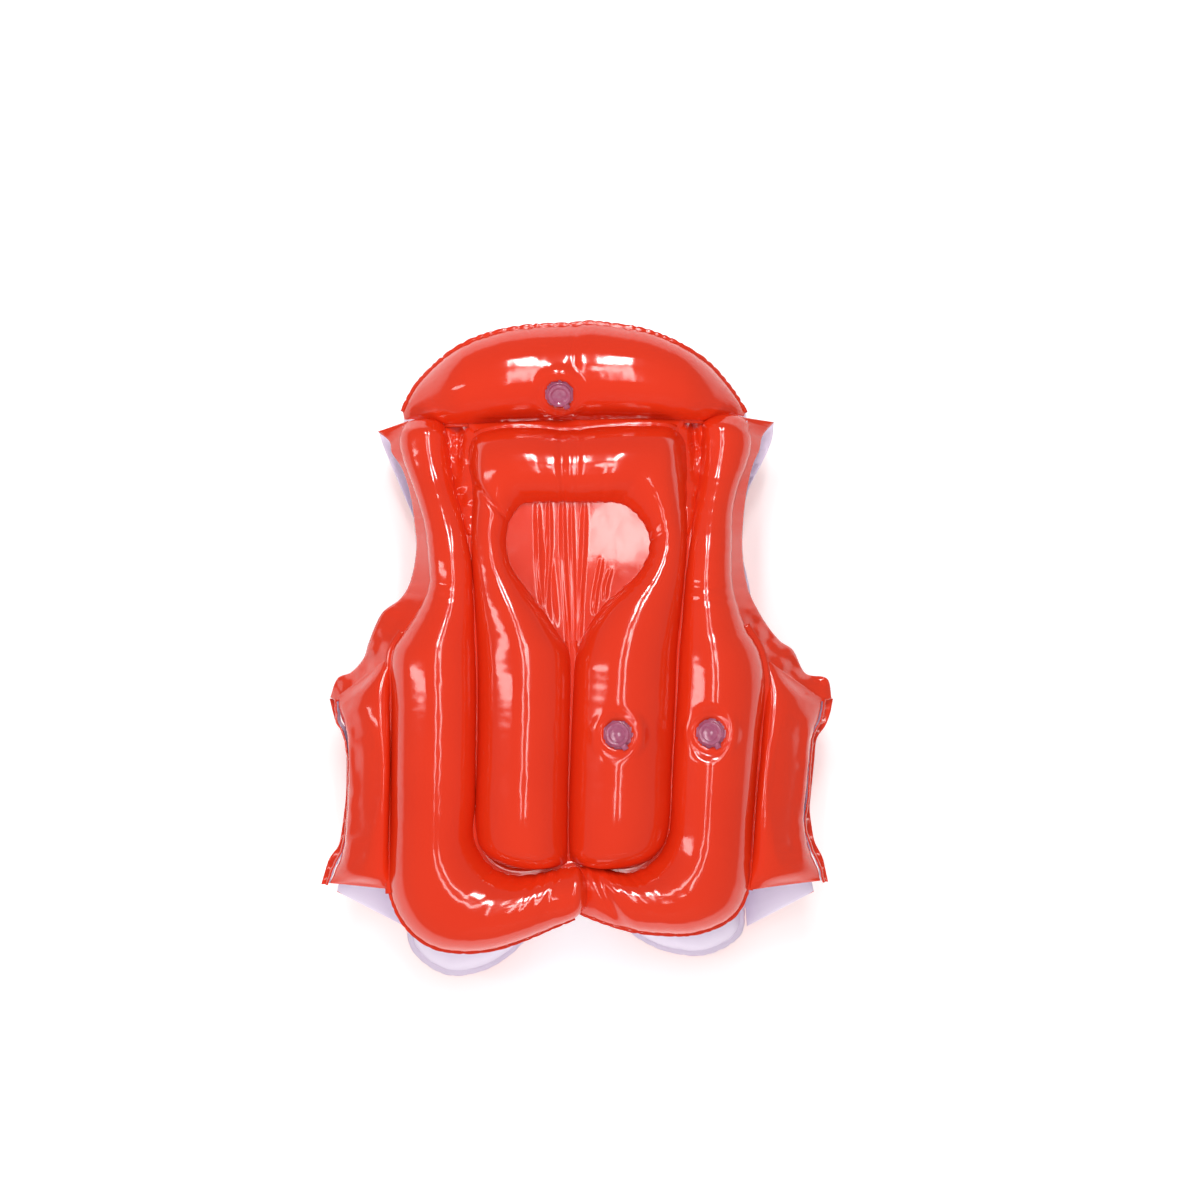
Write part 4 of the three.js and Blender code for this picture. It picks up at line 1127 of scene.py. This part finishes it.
# %% Stitch tree
stitch_tree = bpy.data.node_groups.new("Lockstitch", "GeometryNodeTree")
for label, kind, direction in (
    ("Geometry", "Geometry", "INPUT"), ("Pitch", "Float", "INPUT"), ("Thread", "Float", "INPUT"),
    ("Geometry", "Geometry", "OUTPUT"),
):
    stitch_tree.interface.new_socket(label, in_out=direction, socket_type="NodeSocket" + kind)
thread_material = new_material("Polyester thread", {
    "Base Color": linear("#232329"), "Roughness": 0.6, "Sheen Weight": 0.2})[0]
group_in = add_node(stitch_tree, "NodeGroupInput")
to_curve = add_node(stitch_tree, "GeometryNodeMeshToCurve", links={"Mesh": group_in.outputs["Geometry"]})
spaced = add_node(stitch_tree, "GeometryNodeResampleCurve", mode="LENGTH",
                  links={"Curve": to_curve.outputs["Curve"], "Length": group_in.outputs["Pitch"]})
bead = add_node(stitch_tree, "GeometryNodeMeshUVSphere", {"Segments": 6, "Rings": 4},
                {"Radius": group_in.outputs["Thread"]})
long_bead = add_node(stitch_tree, "GeometryNodeTransform", {"Scale": (1.0, 1.0, 3.4)},
                     {"Geometry": bead.outputs["Mesh"]})
way = add_node(stitch_tree, "GeometryNodeInputTangent")
aim = add_node(stitch_tree, "FunctionNodeAlignRotationToVector", axis="Z",
               links={"Vector": way.outputs["Tangent"]})
placed = add_node(stitch_tree, "GeometryNodeInstanceOnPoints",
                  links={"Points": spaced.outputs["Curve"], "Instance": long_bead.outputs["Geometry"],
                         "Rotation": aim.outputs["Rotation"]})
real = add_node(stitch_tree, "GeometryNodeRealizeInstances", links={"Geometry": placed.outputs["Instances"]})
dyed = add_node(stitch_tree, "GeometryNodeSetMaterial", {"Material": thread_material},
                {"Geometry": real.outputs["Geometry"]})
add_node(stitch_tree, "NodeGroupOutput", links={"Geometry": dyed.outputs["Geometry"]})
print("stitch tree:", len(stitch_tree.nodes), "nodes")


STITCH_PITCH, THREAD_RADIUS = 2.4, 0.28


def stitched(name, lines):
    """Thread beads along lines of (x, y, z) points in mm, as one plain mesh."""
    points = [p for line in lines for p in line]
    edges, start = [], 0
    for line in lines:
        edges += [(start + k, start + k + 1) for k in range(len(line) - 1)]
        start += len(line)
    mesh = bpy.data.meshes.new(name)
    mesh.from_pydata([[c * MM for c in p] for p in points], edges, [])
    seam = bpy.data.objects.new(name, mesh)
    bpy.context.scene.collection.objects.link(seam)
    nodes = seam.modifiers.new("stitches", "NODES")
    nodes.node_group = stitch_tree
    inputs = [item for item in stitch_tree.interface.items_tree if item.in_out == "INPUT"]
    sockets = {item.name: item.identifier for item in inputs}
    nodes[sockets["Pitch"]] = STITCH_PITCH * MM
    nodes[sockets["Thread"]] = THREAD_RADIUS * MM
    done = bpy.data.meshes.new_from_object(seam.evaluated_get(bpy.context.evaluated_depsgraph_get()))
    seam.modifiers.clear()
    seam.data = done
    return seam


def box_and_cross(x0, x1, y, z):
    a, b, c, d = (x0, y - 7.5, z), (x1, y - 7.5, z), (x1, y + 7.5, z), (x0, y + 7.5, z)
    return [[a, b, c, d, a], [a, c], [b, d]]


# %% [markdown]
# ## Buckles
# A side-release buckle is moulded in black acetal: two halves, and two prongs that flex where they leave
# the male one. It keeps its engineered shape, and gains what a mould gives it, edges with a radius. The
# mould is spark-eroded, so the plastic is satin with a fine grit, and a little more polished where it rubs.

# %% Acetal and its moulded edges
acetal, acetal_tree, acetal_surface, acetal_place = new_material("Moulded acetal, spark-eroded finish", {
    "Base Color": linear("#17171A"), "IOR": 1.48})
grit = add_node(acetal_tree, "ShaderNodeTexNoise", {"Scale": 2400, "Detail": 2}, {"Vector": acetal_place})
worn = add_node(acetal_tree, "ShaderNodeTexNoise", {"Scale": 120, "Detail": 3}, {"Vector": acetal_place})
satin = add_node(acetal_tree, "ShaderNodeMapRange", {"To Min": 0.34, "To Max": 0.52},
                 {"Value": worn.outputs["Fac"]})
acetal_tree.links.new(satin.outputs["Result"], acetal_surface.inputs["Roughness"])
erosion = add_node(acetal_tree, "ShaderNodeBump", {"Strength": 0.25, "Distance": 0.0001},
                   {"Height": grit.outputs["Fac"]})
acetal_tree.links.new(erosion.outputs["Normal"], acetal_surface.inputs["Normal"])


def moulded(node, name, radius):
    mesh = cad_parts[node].data.copy()
    mesh.name = name
    edit = bmesh.new()
    edit.from_mesh(mesh)
    bmesh.ops.remove_doubles(edit, verts=edit.verts, dist=2e-6)
    bmesh.ops.dissolve_limit(edit, angle_limit=math.radians(2), verts=edit.verts, edges=edit.edges)
    edit.to_mesh(mesh)
    edit.free()
    piece = bpy.data.objects.new(name, mesh)
    bpy.context.scene.collection.objects.link(piece)
    mesh.materials.clear()
    mesh.materials.append(acetal)
    soften = piece.modifiers.new("radius", "BEVEL")
    soften.width = radius * MM
    soften.segments = 3
    soften.limit_method = "ANGLE"
    soften.angle_limit = math.radians(32)
    soften.use_clamp_overlap = True
    done = bpy.data.meshes.new_from_object(piece.evaluated_get(bpy.context.evaluated_depsgraph_get()))
    piece.modifiers.clear()
    piece.data = done
    done.polygons.foreach_set("use_smooth", np.zeros(len(done.polygons), bool))
    return piece


# %% [markdown]
# ## Closure
# On each front half two round patches are welded to the film, and each holds a tape with one buckle half:
# the male halves on the left, the female ones on the right.

# %% Straps, patches and buckles
PATCH_X = 65
UNDER_FACE = 0.75
strap_pieces = []
patch_profile = rounded([(0, 8.72), (9.5, 8.72), (10.3, 8.62), (11.2, 8.78), (12.6, 8.78), (13.4, 8.66),
                         (14, 8.9), (13.8, 9.7), (0, 9.7)], 0.3)
for side, hand in (("left", -1), ("right", 1)):
    for level, y in STRAP_Y.items():
        strip = tape(f"webbing_tape_{side}_{level}", hand, y)
        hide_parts(f"webbing_{side}_{level}")
        patch = make_object(f"strap_patch_film_{side}_{level}", *turned(patch_profile)[:3], [orange_film])
        patch.data.transform(Matrix.Translation((hand * PATCH_X * MM, y * MM, 0)))
        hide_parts(f"strap_patch_{side}_{level}")
        anchor = box_and_cross(hand * (PATCH_X - 10), hand * (PATCH_X + 10),
                               y, BAR_Z + UPPER_RUN - UNDER_FACE)
        loop = box_and_cross(hand * (BAR_X + 15.5), hand * (BAR_X + 25.5), y, BAR_Z + LOWER_RUN - UNDER_FACE)
        thread = stitched(f"strap_stitches_{side}_{level}", anchor + loop)
        strap_pieces += [(strip, f"{side}_front"), (patch, f"{side}_front"), (thread, f"{side}_front")]
for level in STRAP_Y:
    for body in (f"male_{level}", f"female_{level}", f"prong_{level}_a", f"prong_{level}_b"):
        node = f"buckle_{body}"
        part = moulded(node, node + "_moulded", 0.3 if "prong" in node else 0.5)
        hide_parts(node)
        strap_pieces.append((part, body))
for piece, body in strap_pieces:
    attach(piece, body)
print("strap pieces:", len(strap_pieces))

# %% [markdown]
# ## Welds of the front halves
# The front halves have the same bands, with their pale side up.

# %% Front weld bands
for side, way_round in (("left", 1), ("right", -1)):
    outer, inner = front_outer_rungs(side), on_side(front_inner_run, side)
    add_to(front_outer[side], front_lips[side],
           weld_line(outer[3:16, 2:4][::way_round], front_height, 4, 4, 21),
           weld_line(outer[9:, 0:2][::way_round], front_height, 2, 3.5, 22, ruffle=1.6, scallop=0.8))
    add_to(front_inner[side],
           weld_line(inner[:, 2:4][::-way_round], front_height, 2, 5, 23, ruffle=1.5, scallop=0.5))
print("front bands on:", front_outer["left"].name, "and", front_outer["right"].name)

# %% [markdown]
# ## What moves with what
# The back panel is the root, and the side cells of both panels stay with it. The fronts swing on the welds
# beside those cells, and the collar tips on its strip of film. Film that crosses a joint is attached to
# neither body and stays where it was built.

# %% Bodies and slots
for piece, node in (
    (back_outer, "back_outer_chamber"), (back_centre, "back_centre_chamber"),
    (back_cells["left"], "back_side_cell_left"), (back_cells["right"], "back_side_cell_right"),
    (front_cells["left"], "front_side_cell_left"), (front_cells["right"], "front_side_cell_right"),
):
    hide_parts(node)
    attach(piece, "root")
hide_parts("collar_chamber")
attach(collar, "collar")
for side in ("left", "right"):
    for piece, node in ((front_outer[side], f"front_outer_chamber_{side}"),
                        (front_inner[side], f"front_inner_chamber_{side}")):
        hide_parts(node)
        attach(piece, f"{side}_front")
    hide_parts(f"yoke_film_{side}")
    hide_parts(f"armhole_flange_{side}")
    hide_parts(f"side_film_{side}")
    for piece in (yoke_films[side], armhole_films[side], side_films[side]):
        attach(piece, "root")
    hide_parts(f"shoulder_film_{side}")
    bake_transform(shoulder_films[side])
for (name, part), piece in valves.items():
    if part == "base":
        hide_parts(f"{name}_valve_base")
        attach(piece, "collar" if name == "collar" else "root")
    elif part == "strap":
        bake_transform(piece)
    else:
        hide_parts(f"{name}_valve_{part}")
        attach(piece, f"{name}_{part}")
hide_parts("window_film")
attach(window_film, "root")
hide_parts("neck_film", "collar_hinge_film")
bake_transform(neck_film)


# %% [markdown]
# ## Studio
# The jacket lies on a white floor and is looked at from straight above. Oval softboxes
# give the tubes long highlights that taper, a small one is mirrored in the window, and a large one at the
# foot, kept out of reflections, lights the pale film.

# %% Floor, lights and camera
floor_mesh = bpy.data.meshes.new("floor")
floor_mesh.from_pydata([(-6, -6, 0), (6, -6, 0), (6, 6, 0), (-6, 6, 0)], [], [(0, 1, 2, 3)])
floor = bpy.data.objects.new("floor", floor_mesh)
bpy.context.scene.collection.objects.link(floor)
floor.location.z = cad_box[0][2] - 0.0005
floor_paint = new_material("Matt white paint", {
    "Base Color": linear("#FBFBFB"), "Roughness": 0.9,
    "Emission Color": linear("#FFFFFF"), "Emission Strength": 0.30})[0]
floor_mesh.materials.append(floor_paint)

world = bpy.data.worlds.new("room")
bpy.context.scene.world = world
world.use_nodes = True
sky = world.node_tree.nodes["Background"]
sky.inputs["Color"].default_value = (1, 1, 1, 1)
sky.inputs["Strength"].default_value = 0.27


def softbox(name, place, aim, size, power):
    light = bpy.data.lights.new(name, "AREA")
    light.shape = "ELLIPSE"
    light.size, light.size_y = size
    light.energy = power
    lamp = bpy.data.objects.new(name, light)
    lamp.location = place
    lamp.rotation_euler = (Vector(aim) - Vector(place)).to_track_quat("-Z", "Y").to_euler()
    bpy.context.scene.collection.objects.link(lamp)
    return lamp


softbox("right strip", (0.20, 1.08, 1.72), (0.05, 0.2, 0.1), (0.12, 0.7), 8.5)
softbox("left strip", (-0.24, 1.08, 1.72), (-0.05, 0.2, 0.1), (0.15, 0.7), 9)
softbox("right fill strip", (0.17, 0.20, 1.78), (0.17, 0.20, 0), (0.09, 1.15), 2.6)
softbox("left fill strip", (-0.20, 0.20, 1.78), (-0.20, 0.20, 0), (0.09, 1.15), 2.4)
softbox("far left strip", (-1.75, 0.1, 1.45), (0, 0, 0.1), (0.22, 1.6), 6)
softbox("window strip", (0.056, 0.40, 1.74), (0.056, 0.40, 0), (0.11, 0.28), 0.95)
foot_fill = softbox("foot fill", (0.1, -2.0, 1.3), (0, -0.2, 0.05), (1.8, 1.0), 24)
foot_fill.visible_glossy = False

camera_data = bpy.data.cameras.new("camera")
camera = bpy.data.objects.new("camera", camera_data)
bpy.context.scene.collection.objects.link(camera)
camera_data.sensor_width, camera_data.lens = 36, 85
camera_data.clip_end = 50
camera.location = (0.0195, 0.0378, 2.31)
bpy.context.scene.camera = camera
bpy.context.scene.view_settings.view_transform = "Standard"
